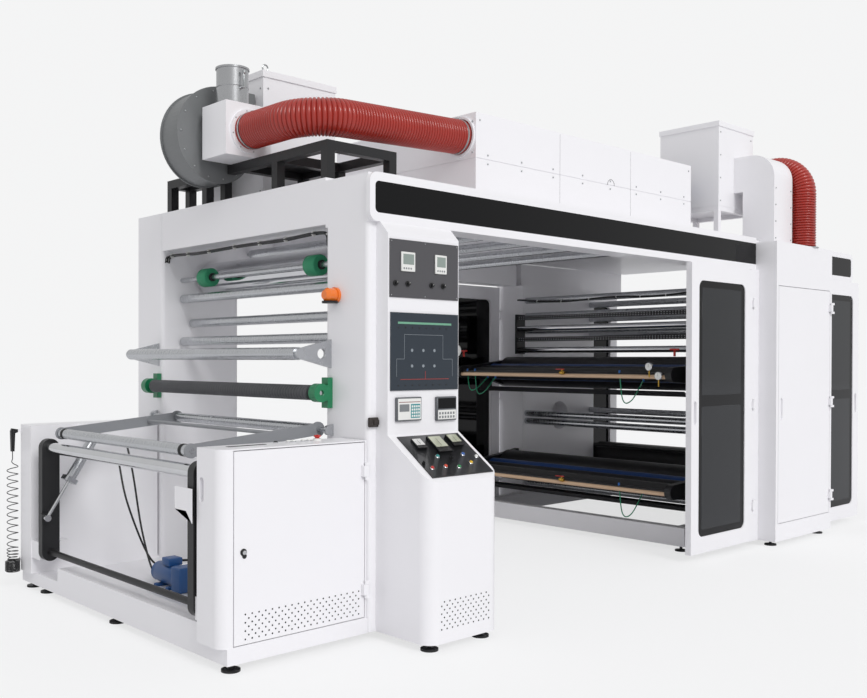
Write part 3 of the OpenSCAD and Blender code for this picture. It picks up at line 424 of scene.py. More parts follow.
def enamel(name, code, roughness=0.35):
    """A small painted or moulded part in a colour of its own."""
    return kept(name, lambda n: coated(n, hex_linear(code), roughness, 1.5, 0.08, coat=0.3, vary=0.06))


def metal(name, code, roughness, stretch, line_mm, bump=0.12):
    """Bare metal whose tool marks run one way: a noise squeezed by the stretch on each axis gives
    lines, which change the roughness and raise a faint bump."""
    mat = blank(name)
    place = put(mat, "ShaderNodeTexCoord")
    squeeze = put(mat, "ShaderNodeMapping", {"Scale": stretch}, {"Vector": (place, "Object")})
    lines = put(
        mat, "ShaderNodeTexNoise", {"Scale": 1000.0 / line_mm, "Detail": 3.0}, {"Vector": (squeeze, "Vector")}
    )
    patch = put(mat, "ShaderNodeTexNoise", {"Scale": 4.0, "Detail": 2.0}, {"Vector": (place, "Object")})
    rgb = hex_linear(code)
    tone = put(mat, "ShaderNodeMix", {6: rgba(rgb, 0.9), 7: rgba(rgb, 1.08)}, {0: (patch, "Fac")}, data_type="RGBA")
    gloss = put(
        mat, "ShaderNodeMapRange", {"To Min": roughness * 0.7, "To Max": roughness * 1.35}, {"Value": (lines, "Fac")}
    )
    raised = put(mat, "ShaderNodeBump", {"Strength": bump, "Distance": 0.0003}, {"Height": (lines, "Fac")})
    shader = put(
        mat, "ShaderNodeBsdfPrincipled", {"Metallic": 1.0},
        {"Base Color": (tone, 2), "Roughness": (gloss, 0), "Normal": (raised, 0)},
    )
    put(mat, "ShaderNodeOutputMaterial", {}, {"Surface": (shader, 0)})
    return mat


def chrome():
    """Hard chrome on ground steel: nearly a mirror."""
    return kept("hard_chrome", lambda n: metal(n, "#D9DADC", 0.09, (0.3, 1, 0.3), 4.0, 0.03))


def turned_aluminium():
    """Anodised aluminium roller skin, turned: faint rings round the roller."""
    return kept("turned_aluminium", lambda n: metal(n, "#C4C6C9", 0.26, (0.02, 1, 0.02), 2.5))


def stainless():
    """Brushed stainless sheet: fine lines along the brushing."""
    return kept("brushed_stainless", lambda n: metal(n, "#B9BABC", 0.28, (1, 1, 0.03), 2.0))


def zinc():
    """Bright zinc plating on screws, feet and small fittings."""
    return kept("zinc_plate", lambda n: metal(n, "#B4B7B8", 0.3, (1, 1, 1), 3.0))


def brass():
    """Turned brass of the valves."""
    return kept("turned_brass", lambda n: metal(n, "#C9A24C", 0.25, (1, 1, 1), 2.0))


def beige_anodised():
    """Beige anodised tube of the print units."""
    return kept("beige_anodised", lambda n: coated(n, tuple(paints().rod), 0.35, 2.0, 0.1, metallic=0.35, vary=0.06))


def red_plastic():
    """Red nylon of the levers and the emergency stop."""
    return enamel("red_nylon", "#C0241C", 0.3)


def blue_plastic():
    """Blue polyamide of the terminal box and the fittings."""
    return enamel("blue_polyamide", "#1C5FA8", 0.35)


def charcoal():
    """Charcoal enamel on the blower motor, with a cast skin."""
    return kept("charcoal_enamel", lambda n: coated(n, hex_linear("#3C3F44"), 0.45, 3.0, 0.4, vary=0.15))


def polyurethane():
    """Black polyurethane of the spiral hose, satin."""
    return kept("black_polyurethane", lambda n: coated(n, hex_linear("#151517"), 0.3, 2.0, 0.1, coat=0.2, vary=0.1))


def air_tube():
    """Green polyurethane air tube, slightly glossy."""
    return enamel("green_polyurethane", "#1D7F5B", 0.25)


def white_plastic():
    """White ABS of the displays, handles and number discs."""
    return enamel("white_abs", "#E9E9E6", 0.35)


def screen_glass():
    """Grey-green liquid-crystal screen behind clear acrylic."""
    return kept("lcd_screen", lambda n: coated(n, hex_linear("#8E9A94"), 0.15, 10.0, 0.0, coat=0.4, vary=0.06))


def blue_enamel():
    """Blue enamel on the geared motor, over a cast skin."""
    return kept("blue_enamel", lambda n: coated(n, hex_linear("#24558F"), 0.4, 3.0, 0.3, coat=0.2, vary=0.12))


def bronze_coat():
    """Dark bronze enamel on the tower's latch."""
    return kept("bronze_enamel", lambda n: coated(n, hex_linear("#3A3431"), 0.4, 1.5, 0.2, metallic=0.3, vary=0.15))


NODE_FINISH = {
    "levelling_feet": black_coat, "fascia_glass": dark_glass, "bridge_rollers": turned_aluminium,
    "control_panels": black_plastic, "beacon": lens_plastic, "unloading_arms": black_coat, "reel_shaft": chrome,
    "arm_cylinder": turned_aluminium, "cylinder_rod": chrome, "lay_on_arms": grey_enamel,
    "lay_on_roller": turned_aluminium, "tower_rollers": turned_aluminium, "spreader_roller": black_rubber_and_hole_shade,
    "spreader_bearings": green_enamel, "pull_drum": chrome, "platform_frame": black_coat,
    "intake_stack": stainless, "fan_scroll": hammer_paint, "left_hose": hose_fabric, "right_hose": hose_fabric,
    "left_units": black_coat, "right_units": black_coat, "guide_rollers": turned_aluminium,
    "air_gun": black_plastic, "air_hose": black_plastic,
}


def finish_nodes():
    """Gives every CAD node its finish: glass and plate nodes by name, the rest powder coat."""
    for name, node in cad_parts.items():
        if name.startswith("door_glass"):
            finish = dark_glass()
        elif name.startswith("plate_cylinder"):
            finish = photopolymer()
        else:
            finish = NODE_FINISH.get(name, powder_coat)()
        node.data.materials.clear()
        node.data.materials.append(finish)


# Stage

CAMERA = {"place": (-2.6755, -4.1962, 1.5933), "yaw": 47.699, "pitch": -0.4601, "roll": 0.141,
          "focal_px": 976.7, "centre_px": (395.8, 368.0)}
PHOTO_W, PHOTO_H = 867, 698
SENSOR_MM = 36.0


def aim_camera():
    """The camera's axes: forward from yaw and pitch, right level to it, both turned by the roll."""
    yaw, pitch, roll = (math.radians(CAMERA[k]) for k in ("yaw", "pitch", "roll"))
    forward = np.array([math.cos(yaw) * math.cos(pitch), math.sin(yaw) * math.cos(pitch), math.sin(pitch)])
    level = np.array([math.sin(yaw), -math.cos(yaw), 0])
    above = np.cross(level, forward)
    right = level * math.cos(roll) + above * math.sin(roll)
    upward = -level * math.sin(roll) + above * math.cos(roll)
    view = Matrix(np.stack([right, upward, -forward], 1).tolist()).to_4x4()
    view.translation = spot(*CAMERA["place"])
    lens = bpy.data.cameras.new("photo_camera")
    lens.sensor_width = SENSOR_MM
    lens.lens = SENSOR_MM * CAMERA["focal_px"] / PHOTO_W
    lens.shift_x = (PHOTO_W / 2 - CAMERA["centre_px"][0]) / PHOTO_W
    lens.shift_y = (CAMERA["centre_px"][1] - PHOTO_H / 2) / PHOTO_W
    lens.clip_end = 200
    eye = bpy.data.objects.new("photo_camera", lens)
    eye.matrix_world = view
    bpy.context.scene.collection.objects.link(eye)
    bpy.context.scene.camera = eye


def set_view():
    """Shows colours plainly."""
    bpy.context.scene.view_settings.view_transform = "Standard"


def sun(name, toward, strength, spread):
    """A sun lamp that shines from a direction, with a wide disc for soft shadows."""
    data = bpy.data.lights.new(name, "SUN")
    data.energy = strength
    data.angle = math.radians(spread)
    item = bpy.data.objects.new(name, data)
    away = np.asarray(toward, float) / np.linalg.norm(toward)
    side = np.cross([0, 0, 1.0], away)
    side /= np.linalg.norm(side)
    turn = Matrix(np.stack([side, np.cross(away, side), away], 1).tolist()).to_4x4()
    turn.translation = spot(*(away * 12))
    item.matrix_world = turn
    bpy.context.scene.collection.objects.link(item)


ROOM = {"level": 0.68, "seen": 0.95, "tint": (0.955, 0.957, 0.960, 1)}


def studio():
    """A plain pale floor, a pale room and a broad key lamp from the front."""
    world = bpy.data.worlds.new("studio")
    bpy.context.scene.world = world
    world.use_nodes = True
    tree = world.node_tree
    tree.nodes.clear()
    path = tree.nodes.new("ShaderNodeLightPath")
    seen = tree.nodes.new("ShaderNodeMath")
    seen.operation = "MAXIMUM"
    tree.links.new(path.outputs["Is Camera Ray"], seen.inputs[0])
    tree.links.new(path.outputs["Is Transmission Ray"], seen.inputs[1])
    level = tree.nodes.new("ShaderNodeMapRange")
    level.inputs["To Min"].default_value = ROOM["level"]
    level.inputs["To Max"].default_value = ROOM["seen"]
    tree.links.new(seen.outputs[0], level.inputs["Value"])
    back = tree.nodes.new("ShaderNodeBackground")
    back.inputs["Color"].default_value = ROOM["tint"]
    tree.links.new(level.outputs[0], back.inputs["Strength"])
    out = tree.nodes.new("ShaderNodeOutputWorld")
    tree.links.new(back.outputs[0], out.inputs["Surface"])
    sun("key_lamp", (-0.15, -0.80, 0.58), 1.30, 25)
    edge = np.linspace(-60, 60, 9)
    x, y = np.meshgrid(edge, edge, indexing="ij")
    points, quads, tris = sheet_of(np.stack([x, y, np.zeros_like(x)], -1))
    mesh = bpy.data.meshes.new("studio_floor")
    mesh.from_pydata((points + DATUM * [1, 1, 0]).tolist(), [], quads[:, ::-1].tolist())
    mesh.materials.append(kept("studio_floor", floor_paint))
    floor = bpy.data.objects.new("studio_floor", mesh)
    bpy.context.scene.collection.objects.link(floor)


def floor_paint(name):
    """Matt studio floor paint. Far from the machine it glows a little to the camera, so it meets
    the pale room without a line."""
    mat = blank(name)
    path = put(mat, "ShaderNodeLightPath")
    paint = put(mat, "ShaderNodeBsdfDiffuse", {"Color": rgba(tuple(paints().floor))})
    glow = put(mat, "ShaderNodeEmission", {"Color": ROOM["tint"], "Strength": 1.035})
    share = put(mat, "ShaderNodeMath", {1: 0.70}, {0: (path, "Is Camera Ray")}, operation="MULTIPLY")
    both = put(mat, "ShaderNodeMixShader", {}, {0: (share, 0), 1: (paint, 0), 2: (glow, 0)})
    put(mat, "ShaderNodeOutputMaterial", {}, {"Surface": (both, 0)})
    return mat


# Blow-gun hose

HOSE = {
    "axis": (-0.088, 2.59), "exit_z": 0.205, "exit_reach": 0.050, "diameter": 0.006,
    "coil_radius": 0.047, "inner_radius": 0.030, "curl_radius": 0.036, "entry_radius": 0.0235,
    "gun_z": 0.955, "points_per_turn": 16,
}
# Turn count, radius and height where the hose changes: stored coil down, inner coil up, open curls
HOSE_TURNS = (
    (0.0, 0.047, 0.2000), (0.25, 0.047, 0.1970), (10.5, 0.047, 0.1260), (11.25, 0.030, 0.1257),
    (15.25, 0.030, 0.2217), (16.25, 0.037, 0.2400), (18.25, 0.036, 0.2850), (29.25, 0.036, 0.8450),
)


def hose_line():
    """The hose's centreline: straight in from the gland, half round into the coil, then turns whose
    radius and height follow the turn count, and at last a straight lead up into the gun."""
    reach, entry, z0 = HOSE["exit_reach"], HOSE["entry_radius"], HOSE["exit_z"]
    straight = np.linspace(reach, 0, 9)[:-1]
    lead_in = np.stack([straight, 0 * straight, z0 + 0 * straight], -1)
    half = np.linspace(0, math.pi, 13)[:-1]
    first_z = HOSE_TURNS[0][2]
    bend = np.stack([-entry * np.sin(half), entry - entry * np.cos(half), z0 + (first_z - z0) * half / math.pi], -1)
    turns, radii, heights = np.array(HOSE_TURNS).T
    t = np.linspace(0, turns[-1], int(turns[-1] * HOSE["points_per_turn"]) + 1)
    angle = math.pi / 2 - TAU * t
    radius = np.interp(t, turns, radii)
    coil = np.stack([radius * np.cos(angle), radius * np.sin(angle), np.interp(t, turns, heights)], -1)
    s = np.linspace(0, 1, 15)[1:]
    angle = math.pi / 2 - TAU * (turns[-1] + 0.6 * s)
    radius = radii[-1] * (1 - s * s * (3 - 2 * s))
    close = np.stack([radius * np.cos(angle), radius * np.sin(angle), heights[-1] + 0.060 * s], -1)
    rise = np.linspace(heights[-1] + 0.060, HOSE["gun_z"], 7)[1:]
    lead_out = np.stack([0 * rise, 0 * rise, rise], -1)
    return np.vstack([lead_in, bend, coil, close, lead_out]) + [*HOSE["axis"], 0]


def blow_gun_hose():
    """The spiral hose of the blow gun, from its gland at the far cabinet to the gun on its hook."""
    line = hose_line()
    shape = tube(line, HOSE["diameter"] / 2, 10, (0.02, 0.03, 1))
    hose = piece("spiral_air_hose", shape, polyurethane(), replaces=["air_hose"])


def blow_gun_details():
    """Ring of the blow gun, on its CAD body."""
    low, high = span("air_gun")
    x, y = HOSE["axis"]
    ring = moved(turned([(0.0065, 0), (0.009, 0.001), (0.009, 0.006), (0.0065, 0.007)], 20), (x, y, low[2] + 0.0005))
    piece("blow_gun_ring", ring, zinc())


# Roof equipment

HOSE_BEND_LEFT, HOSE_BEND_RIGHT = 0.26, 0.25


def hose_path(corners, radius, count):
    """A hose's centreline: straight runs joined by quarter circles of one radius at each corner,
    sampled at equal steps of its length."""
    corners = np.asarray(corners, float)
    runs = []
    start = corners[0]
    for i in range(1, len(corners) - 1):
        before = corners[i] - corners[i - 1]
        after = corners[i + 1] - corners[i]
        before, after = before / np.linalg.norm(before), after / np.linalg.norm(after)
        enter, leave = corners[i] - before * radius, corners[i] + after * radius
        turn = np.linspace(0, math.pi / 2, 60)[:, None]
        centre = enter + after * radius
        runs += [np.linspace(start, enter, 40), centre - after * radius * np.cos(turn) + before * radius * np.sin(turn)]
        start = leave
    runs.append(np.linspace(start, corners[-1], 40))
    line = np.vstack(runs)
    steps = np.linalg.norm(np.diff(line, axis=0), axis=1)
    keep = np.r_[True, steps > 1e-7]
    line, far = line[keep], np.r_[0, np.cumsum(steps[steps > 1e-7])]
    even = np.linspace(0, far[-1], count)
    return np.stack([np.interp(even, far, line[:, k]) for k in range(3)], -1), far[-1]


def ribbed_hose(corners, bend, diameter, up):
    """A corrugated hose: the radius swings between the wire rings and the valleys as the absolute
    cosine of the length, which gives round rings and sharp valleys."""
    path, total = hose_path(corners, bend, 24)
    rings = round(total / sizes().hose_pitch)
    path, total = hose_path(corners, bend, rings * 8 + 1)
    wave = np.abs(np.cos(np.linspace(0, rings * math.pi, len(path))))
    radius = diameter / 2 - sizes().hose_depth * (1 - wave**0.6)
    return tube(path, radius, 44, up)


def band_clamp(centre, axis, radius):
    """A worm-drive clamp: a thin ring round the hose with its screw housing on top."""
    ring = turned([(radius - 0.004, -0.007), (radius + 0.002, -0.007), (radius + 0.002, 0.007), (radius - 0.004, 0.007)], 44)
    ring = moved(facing(ring, axis), centre)
    box = soft_box((-0.012, -0.012, 0), (0.012, 0.012, 0.012), 0.003)
    return join(ring, moved(box, np.asarray(centre) + [0, 0, radius]))


def hoses():
    red = hose_fabric()
    d = np.ptp([p[0] for p in span("right_hose")])
    low, high = span("left_hose")
    z, x, y = low[2] + d / 2, low[0] + d / 2, low[1] + d / 2
    end = (high[0], y, high[2] - d / 2)
    shape = ribbed_hose([(x, high[1], z), (x, y, z), end], HOSE_BEND_LEFT, d, (0, 0, 1))
    piece("left_corrugated_hose", shape, red, replaces=["left_hose"])
    clamps = [band_clamp((x, high[1] - 0.03, z), "-y", d / 2), band_clamp((end[0] - 0.04, y, end[2] - 0.002), "+x", d / 2)]
    low, high = span("right_hose")
    x, y, z = (low[0] + high[0]) / 2, low[1] + d / 2, high[2] - d / 2
    shape = ribbed_hose([(x, high[1], z), (x, y, z), (x, y, low[2])], HOSE_BEND_RIGHT, d, (1, 0, 0))
    piece("right_corrugated_hose", shape, red, replaces=["right_hose"])
    foot = turned([(d / 2 - 0.006, 0.0), (d / 2 + 0.022, 0.0), (d / 2 + 0.022, 0.004), (d / 2, 0.006)], 44)
    clamps += [band_clamp((x, high[1] - 0.03, z), "-y", d / 2), moved(foot, (x, y, low[2]))]
    piece("hose_clamps", join(*clamps), zinc())


def seam(start, end, width=0.003, proud=0.0006):
    """A dark joint line between two sheets: a flat strip standing just proud of the face."""
    low, high = np.minimum(start, end), np.maximum(start, end)
    flat = np.where(high - low < 1e-6, width / 2, 0)
    return soft_box(low - flat, high + flat, proud / 2, 1)


def strip(low, high):
    """A thin strip with its own two corners."""
    return soft_box(low, high, 0.0004, 1)


def roof_details():
    """Sheet joints, screws and lifting eyes of the tunnel and the boxes on the roof."""
    low, high = span("drying_tunnel")
    middle = (low[2] + high[2]) / 2
    y = low[1] - 0.0005
    x0, x1 = high[0] - 2.72, high[0]
    joints = [strip((x0 + share * (x1 - x0) - 0.001, y, low[2] + 0.012), (x0 + share * (x1 - x0) + 0.001, y + 0.001, high[2] - 0.012))
              for share in (0.335, 0.668)]
    screw = facing(screw_head(), "-y")
    places = [(x0 + s, y, z) for s in np.arange(0.12, 2.72, 0.355) for z in (middle - 0.03, middle + 0.03)]
    places += [(x0 + s, y, z) for s in (0.04, 2.68) for z in (low[2] + 0.05, high[2] - 0.05)]
    side = facing(screw_head(), "-x")
    face_places = [(x0 - 0.0005, y0, z) for y0 in (low[1] + 0.03, high[1] - 0.03) for z in (low[2] + 0.06, middle + 0.04, high[2] - 0.06)]
    # half-round hand hole at the joint of the tunnel's two halves
    half = np.linspace(0, math.pi, 17)
    rim = np.stack([0.045 * np.cos(half), np.zeros(17), 0.045 * np.sin(half)], -1) + [x0 + 1.55, y, middle]
    piece("tunnel_joints", join(*joints, tube(rim, 0.0016, 6, (0, 1, 0))), black_rubber_and_hole_shade(), smooth=False)
    low_h, high_h = span("right_heater")
    heater_y = low_h[1] + 0.0075
    top = high_h[2] - 0.045
    places += [(x, heater_y, z) for x in (low_h[0] + 0.04, low_h[0] + 0.58) for z in np.linspace(top - 0.66, top - 0.05, 4)]
    low_l, high_l = span("left_heater")
    face_places += [(low_l[0] + 0.0075, yy, zz) for yy in (low_l[1] + 0.04, high_l[1] - 0.04) for zz in np.linspace(low_l[2] + 0.1, high_l[2] - 0.12, 4)]
    places += [(xx, low_l[1] + 0.0075, zz) for xx in (low_l[0] + 0.05, high_l[0] - 0.05) for zz in np.linspace(low_l[2] + 0.1, high_l[2] - 0.12, 4)]
    low_c, high_c = span("duct_cover")
    places += [(xx, low_c[1] - 0.0005, zz) for xx in (low_c[0] + 0.03, high_c[0] - 0.03) for zz in np.linspace(low_c[2] + 0.06, low_c[2] + 0.5, 4)]
    piece("roof_screws", join(copies(screw, places), copies(side, face_places)), zinc())
    # lifting eyes: a ring standing on a collar
    around = np.linspace(0, TAU, 25)
    ring = np.stack([0.022 * np.cos(around), np.zeros(25), 0.022 * np.sin(around) + 0.034], -1)
    eye = join(tube(ring, 0.0055, 8, (0, 1, 0)), turned([(0.017, 0), (0.017, 0.006), (0.010, 0.012)], 16))
    spots = [(low_h[0] + 0.04, low_h[1] + 0.04, high_h[2]), (low_h[0] + 0.59, low_h[1] + 0.57, high_h[2])]
    spots += [(low_l[0] + 0.06, low_l[1] + 0.06, high_l[2]), (high_l[0] - 0.06, high_l[1] - 0.06, high_l[2])]
    spots = [s for s in spots if s[2] + 0.06 < CAD_BOX[1][2] + 0.05]
    piece("lifting_eyes", copies(eye, spots), zinc())


def stack_details():
    """The intake stack's wire guard and the lever of its damper."""
    low, high = span("intake_stack")
    x, y = low[0] + 0.117, (low[1] + high[1]) / 2 - 0.015
    r = 0.102
    across = np.linspace(-0.85, 0.85, 8) * r
    bars = [tube([(x + t, y - math.sqrt(r * r - t * t), high[2] - 0.004), (x + t, y + math.sqrt(r * r - t * t), high[2] - 0.004)], 0.0016, 6, (1, 0, 0))
            for t in across]
    seams = [turned([(0.1065, 0.012), (0.1085, 0.014), (0.1065, 0.016)], 40), turned([(0.1065, 0.118), (0.1085, 0.120), (0.1065, 0.122)], 40)]
    guard = join(*bars, *[moved(s, (x, y, low[2])) for s in seams])
    piece("stack_guard", guard, stainless())
    lever = soft_box((-0.006, -0.006, -0.010), (0.006, 0.006, 0.085), 0.003)
    knob = moved(turned([(0.004, 0.08), (0.013, 0.09), (0.013, 0.105), (0.004, 0.114)], 20), (0, 0, 0))
    piece("damper_levers", moved(join(lever, knob), (x, low[1] + 0.008, low[2] + 0.105)), zinc())
    # screws of the collar where the hose meets the mixing box
    low, high = span("mixing_box")
    centre = np.array([(low[0] + high[0]) / 2, low[1], (low[2] + high[2]) / 2 - 0.008])
    angle = np.arange(8) * TAU / 8 + 0.2
    screws = centre + np.stack([0.132 * np.cos(angle), np.full(8, -0.0004), 0.132 * np.sin(angle)], -1)
    piece("collar_screws", copies(facing(screw_head(0.009), "-y"), screws), zinc())


def fan_details():
    """The fan motor's cooling fins and the bolts round the scroll's rim."""
    low, high = span("fan_scroll")
    box_low, box_high = span("mixing_box")
    x = (box_low[0] + box_high[0]) / 2
    z = (box_low[2] + box_high[2]) / 2 - 0.008
    y0 = high[1] - 0.24
    fins = np.arange(28) * TAU / 28
    fin = [soft_box((-0.0015, 0, 0.094), (0.0015, 0.16, 0.103), 0.0006, 1)]
    base = fin[0]
    cos, sin = np.cos(fins), np.sin(fins)
    px, py, pz = base[0].T
    turned_points = np.stack([px[None] * cos[:, None] + pz[None] * sin[:, None], np.broadcast_to(py, (28, len(py))),
                              -px[None] * sin[:, None] + pz[None] * cos[:, None]], -1)
    step = (np.arange(28) * len(px))[:, None, None]
    shape = (turned_points.reshape(-1, 3), (base[1][None] + step).reshape(-1, 4), (base[2][None] + step).reshape(-1, 3))
    piece("motor_fins", moved(shape, (x, y0, z)), hammer_paint(), smooth=False)
    angle = np.radians(np.arange(-80, 171, 25))
    reach = 0.245 + 0.105 * (np.degrees(angle) + 90) / 270 - 0.018
    places = np.stack([x - reach * np.sin(angle), np.full(len(angle), low[1] - 0.0005), z - reach * np.cos(angle)], -1)
    piece("scroll_bolts", copies(facing(screw_head(0.012), "-y"), places), zinc())


def right_motor():
    """The blower motor behind the duct cover: a dark dome on the tunnel's end, its blue terminal
    box and a loop of black cable."""
    low, high = span("right_heater")
    tunnel_low, tunnel_high = span("drying_tunnel")
    x = (tunnel_high[0] + low[0]) / 2 + 0.02
    y = tunnel_low[1] + 0.42
    z = span("roof_deck")[1][2]
    body = turned([(0.13, 0), (0.13, 0.30), (0.145, 0.31), (0.145, 0.40), (0.12, 0.52), (0.095, 0.60), (0.05, 0.64), (0.012, 0.65)], 40)
    piece("blower_motor", moved(body, (x, y, z)), charcoal())
    piece("blower_terminal_box", soft_box((x - 0.05, y - 0.165, z + 0.44), (x + 0.05, y - 0.115, z + 0.54), 0.01), blue_plastic())
    loop = smooth_path([(x, y - 0.165, z + 0.45), (x, y - 0.21, z + 0.42), (x - 0.02, y - 0.22, z + 0.25), (x - 0.03, y - 0.19, z + 0.05), (x - 0.05, y - 0.15, z + 0.012), (x - 0.12, y - 0.08, z + 0.008)], 60)
    piece("blower_cable", tube(loop, 0.007, 10), black_plastic())


# Small fittings

def screw_head(d=None):
    """A pan head: a low dome of radius d/2."""
    r = (d or sizes().screw_d) / 2
    return turned([(r, 0), (r, r * 0.3), (r * 0.75, r * 0.62), (r * 0.35, r * 0.75)], 12)


def slab(x0, x1, y0, y1, z0, z1, radius=0.001, steps=1):
    """A softly edged box from its two limits on each axis."""
    return soft_box((x0, y0, z0), (x1, y1, z1), radius, steps)


def vent_field(x0, columns, z0, rows, front_y, name, body):
    """Punched vent holes in staggered rows: thin black cups standing 0.6 mm proud, as painted shade of the open holes.
    """
    r = sizes().vent_d / 2
    hole_shade_cup = facing(turned([(r, 0), (r, 0.0006), (r * 0.8, 0.0006)], 10), "-y")
    pitch = sizes().vent_pitch
    rows_x = [x0 + (row % 2) * pitch / 2 + np.arange(columns - row % 2) * pitch for row in range(rows)]
    places = [(x, front_y, z0 + row * sizes().vent_row) for row, xs in enumerate(rows_x) for x in xs]
    # the black cups are painted shade: the open holes look dark from the shade inside
    piece(name, copies(hole_shade_cup, places), black_rubber_and_hole_shade(), body, smooth=False)


def vents():
    door = span("near_rewind_door")[0]
    vent_field(door[0] + 0.068, 19, 0.165, 7, -0.0004, "rewind_door_vents", "near_rewind_door")
    low, high = span("control_cabinet")
    vent_field(low[0] + 0.095, 10, 0.125, 8, low[1] - 0.0004, "control_cabinet_vents", "root")


def lock_at(x, y, z):
    """A quarter-turn lock as plate and barrel: a black oval escutcheon with a chrome cylinder."""
    plate = facing(turned([(0.019, 0), (0.019, 0.003), (0.016, 0.005)], 24), "-y")
    low = facing(turned([(0.013, 0), (0.013, 0.003), (0.010, 0.005)], 20), "-y")
    barrel = facing(turned([(0.011, 0.004), (0.011, 0.012), (0.009, 0.014)], 20), "-y")
    return join(moved(plate, (x, y, z)), moved(low, (x + 0.006, y, z - 0.02))), moved(barrel, (x, y, z))


def push_button(r=0.011, tall=0.012):
    """A push button seen from above: a chrome collar and its domed cap."""
    collar = turned([(r * 1.35, 0), (r * 1.35, tall * 0.3), (r * 1.1, tall * 0.5)], 20)
    cap = turned([(r, tall * 0.3), (r, tall * 0.8), (r * 0.85, tall), (r * 0.4, tall * 1.05)], 20)
    return collar, cap


def cabinet_fittings():
    """Lock, push buttons, emergency stop and tool recess of the rewinder's near cabinet."""
    plate, barrel = lock_at(0.096, 0.0, 0.612)
    piece("rewind_door_lock_plate", plate, black_plastic(), "near_rewind_door")
    piece("rewind_door_lock", barrel, chrome(), "near_rewind_door")
    top = span("near_rewind_cabinet")[1][2]
    collar, cap = push_button()
    row = [(x, 0.17, top) for x in (0.50, 0.535, 0.60, 0.64)]
    piece("cabinet_button_collars", copies(collar, row + [(0.415, 0.17, top)]), chrome())
    piece("cabinet_buttons", copies(cap, row), white_plastic())
    piece("cabinet_black_button", moved(cap, (0.415, 0.17, top)), black_plastic())
    stop_base = turned([(0.024, 0), (0.024, 0.010), (0.021, 0.012)], 28)
    stop_cap = turned([(0.013, 0.012), (0.013, 0.019), (0.020, 0.021), (0.020, 0.027), (0.015, 0.031), (0.006, 0.032)], 28)
    piece("emergency_stop_collar", moved(stop_base, (0.70, 0.17, top)), white_plastic())
    piece("emergency_stop", moved(stop_cap, (0.70, 0.17, top)), red_plastic())
    piece("tool_recess", slab(0.09, 0.33, 0.13, 0.16, top - 0.002, top + 0.0012, 0.001), black_rubber_and_hole_shade())
    latch = soft_box((-0.045, -0.022, -0.028), (0.045, 0.0, 0.028), 0.008, 3)
    tip = soft_box((-0.016, -0.030, -0.016), (0.022, -0.018, 0.016), 0.005, 3)
    low = span("near_tower_housing")[0]
    piece("tower_latch", moved(join(latch, tip), (low[0] + 0.040, low[1] - 0.0005, 1.24)), bronze_coat())


def arm_fittings():
    """White cover plate with a chamfered foot, on the head of the near unloading arm."""
    x = span("unloading_arms")[0][0]
    outline = [(0.240, 0.745), (0.300, 0.805), (0.415, 0.805), (0.415, 0.925), (0.240, 0.925)]
    near = np.array([(x - 0.0035, y, z) for y, z in outline])
    back = near + [0.003, 0, 0]
    count = len(outline)
    rim = np.arange(count)
    sides = np.stack([rim, rim + count, (rim + 1) % count + count, (rim + 1) % count], -1)
    fan = np.arange(1, count - 1)
    front = np.stack([0 * fan, fan + 1, fan], -1)
    plate = (np.vstack([near, back]), sides[:, ::-1], np.vstack([front, front[:, ::-1] + count]))
    piece("arm_cover", plate, powder_coat(), "unloading_arms", smooth=False)


def roller_ends():
    """Black rubber bands on the ends of the lay-on roller."""
    low, high = span("lay_on_roller")
    middle = (low + high) / 2
    r, wide, inset = 0.0345, 0.030, 0.06
    profile = [(r - 0.004, 0), (r, 0.001), (r, wide - 0.001), (r - 0.004, wide)]
    places = [(middle[0], y, middle[2]) for y in (low[1] + inset, high[1] - inset - wide)]
    piece("lay_on_roller_bands", copies(facing(turned(profile, 40), "+y"), places), black_rubber_and_hole_shade(), "lay_on_roller")


def spreader():
    """The spreader roller: a black rubber skin cut by a spiral groove on each half, the two halves
    handed. The radius drops wherever the angle and the length fall on the groove's line."""
    low, high = span("spreader_roller")
    middle = (low + high) / 2
    y0, y1 = low[1] + 0.09, high[1] - 0.09
    count, sides = 640, 36
    y = np.linspace(y0, y1, count)
    angle = np.arange(sides) * TAU / sides
    share = (y - y0) / (y1 - y0)
    hand = np.where(share < 0.5, share, 1 - share) * 2 * sizes().groove_turns
    phase = (hand[:, None] - angle[None] / TAU) % 1.0
    groove = np.exp(-(((phase - 0.5) / 0.13) ** 2))
    r = (high[2] - low[2]) / 2 + 0.0005 - 0.004 * groove
    skin = np.stack([r * np.cos(angle), np.repeat(y[:, None], sides, 1), r * np.sin(angle)], -1)
    neck = 0.014 * np.stack([np.cos(angle), 0 * angle, np.sin(angle)], -1)
    grid = np.concatenate([[neck + [0, y0, 0]], skin, [neck + [0, y1, 0]]])
    points, quads, tris = sheet_of(grid + [middle[0], 0, middle[2]], wrap_v=True)
    shaft = moved(facing(turned([(0.0125, 0), (0.0125, high[1] - low[1])], 24), "+y"), (middle[0], low[1], middle[2]))
    piece("grooved_spreader_skin", (points, quads[:, ::-1], tris), spreader_rubber(), "spreader_roller",
          replaces=["spreader_roller"])
    piece("spreader_shaft", shaft, chrome(), "spreader_roller")


def nip_wheels():
    """Green rubber wheels on the tower's cross shaft, on black hubs."""
    wheel = facing(turned([(0.034, -0.002), (0.062, -0.002), (0.067, 0.005), (0.067, 0.105), (0.062, 0.112), (0.034, 0.112)], 40), "+y")
    hub = facing(turned([(0.02, -0.012), (0.03, -0.012), (0.03, 0.122), (0.02, 0.122)], 24), "+y")
    places = [(1.10, 0.65, 2.19), (1.10, 1.93, 2.19)]
    piece("nip_wheels", copies(wheel, places), green_rubber())
    piece("nip_wheel_hubs", copies(hub, places), black_coat())


# Rewinder and tower inside

TRAY_Z = 0.1125


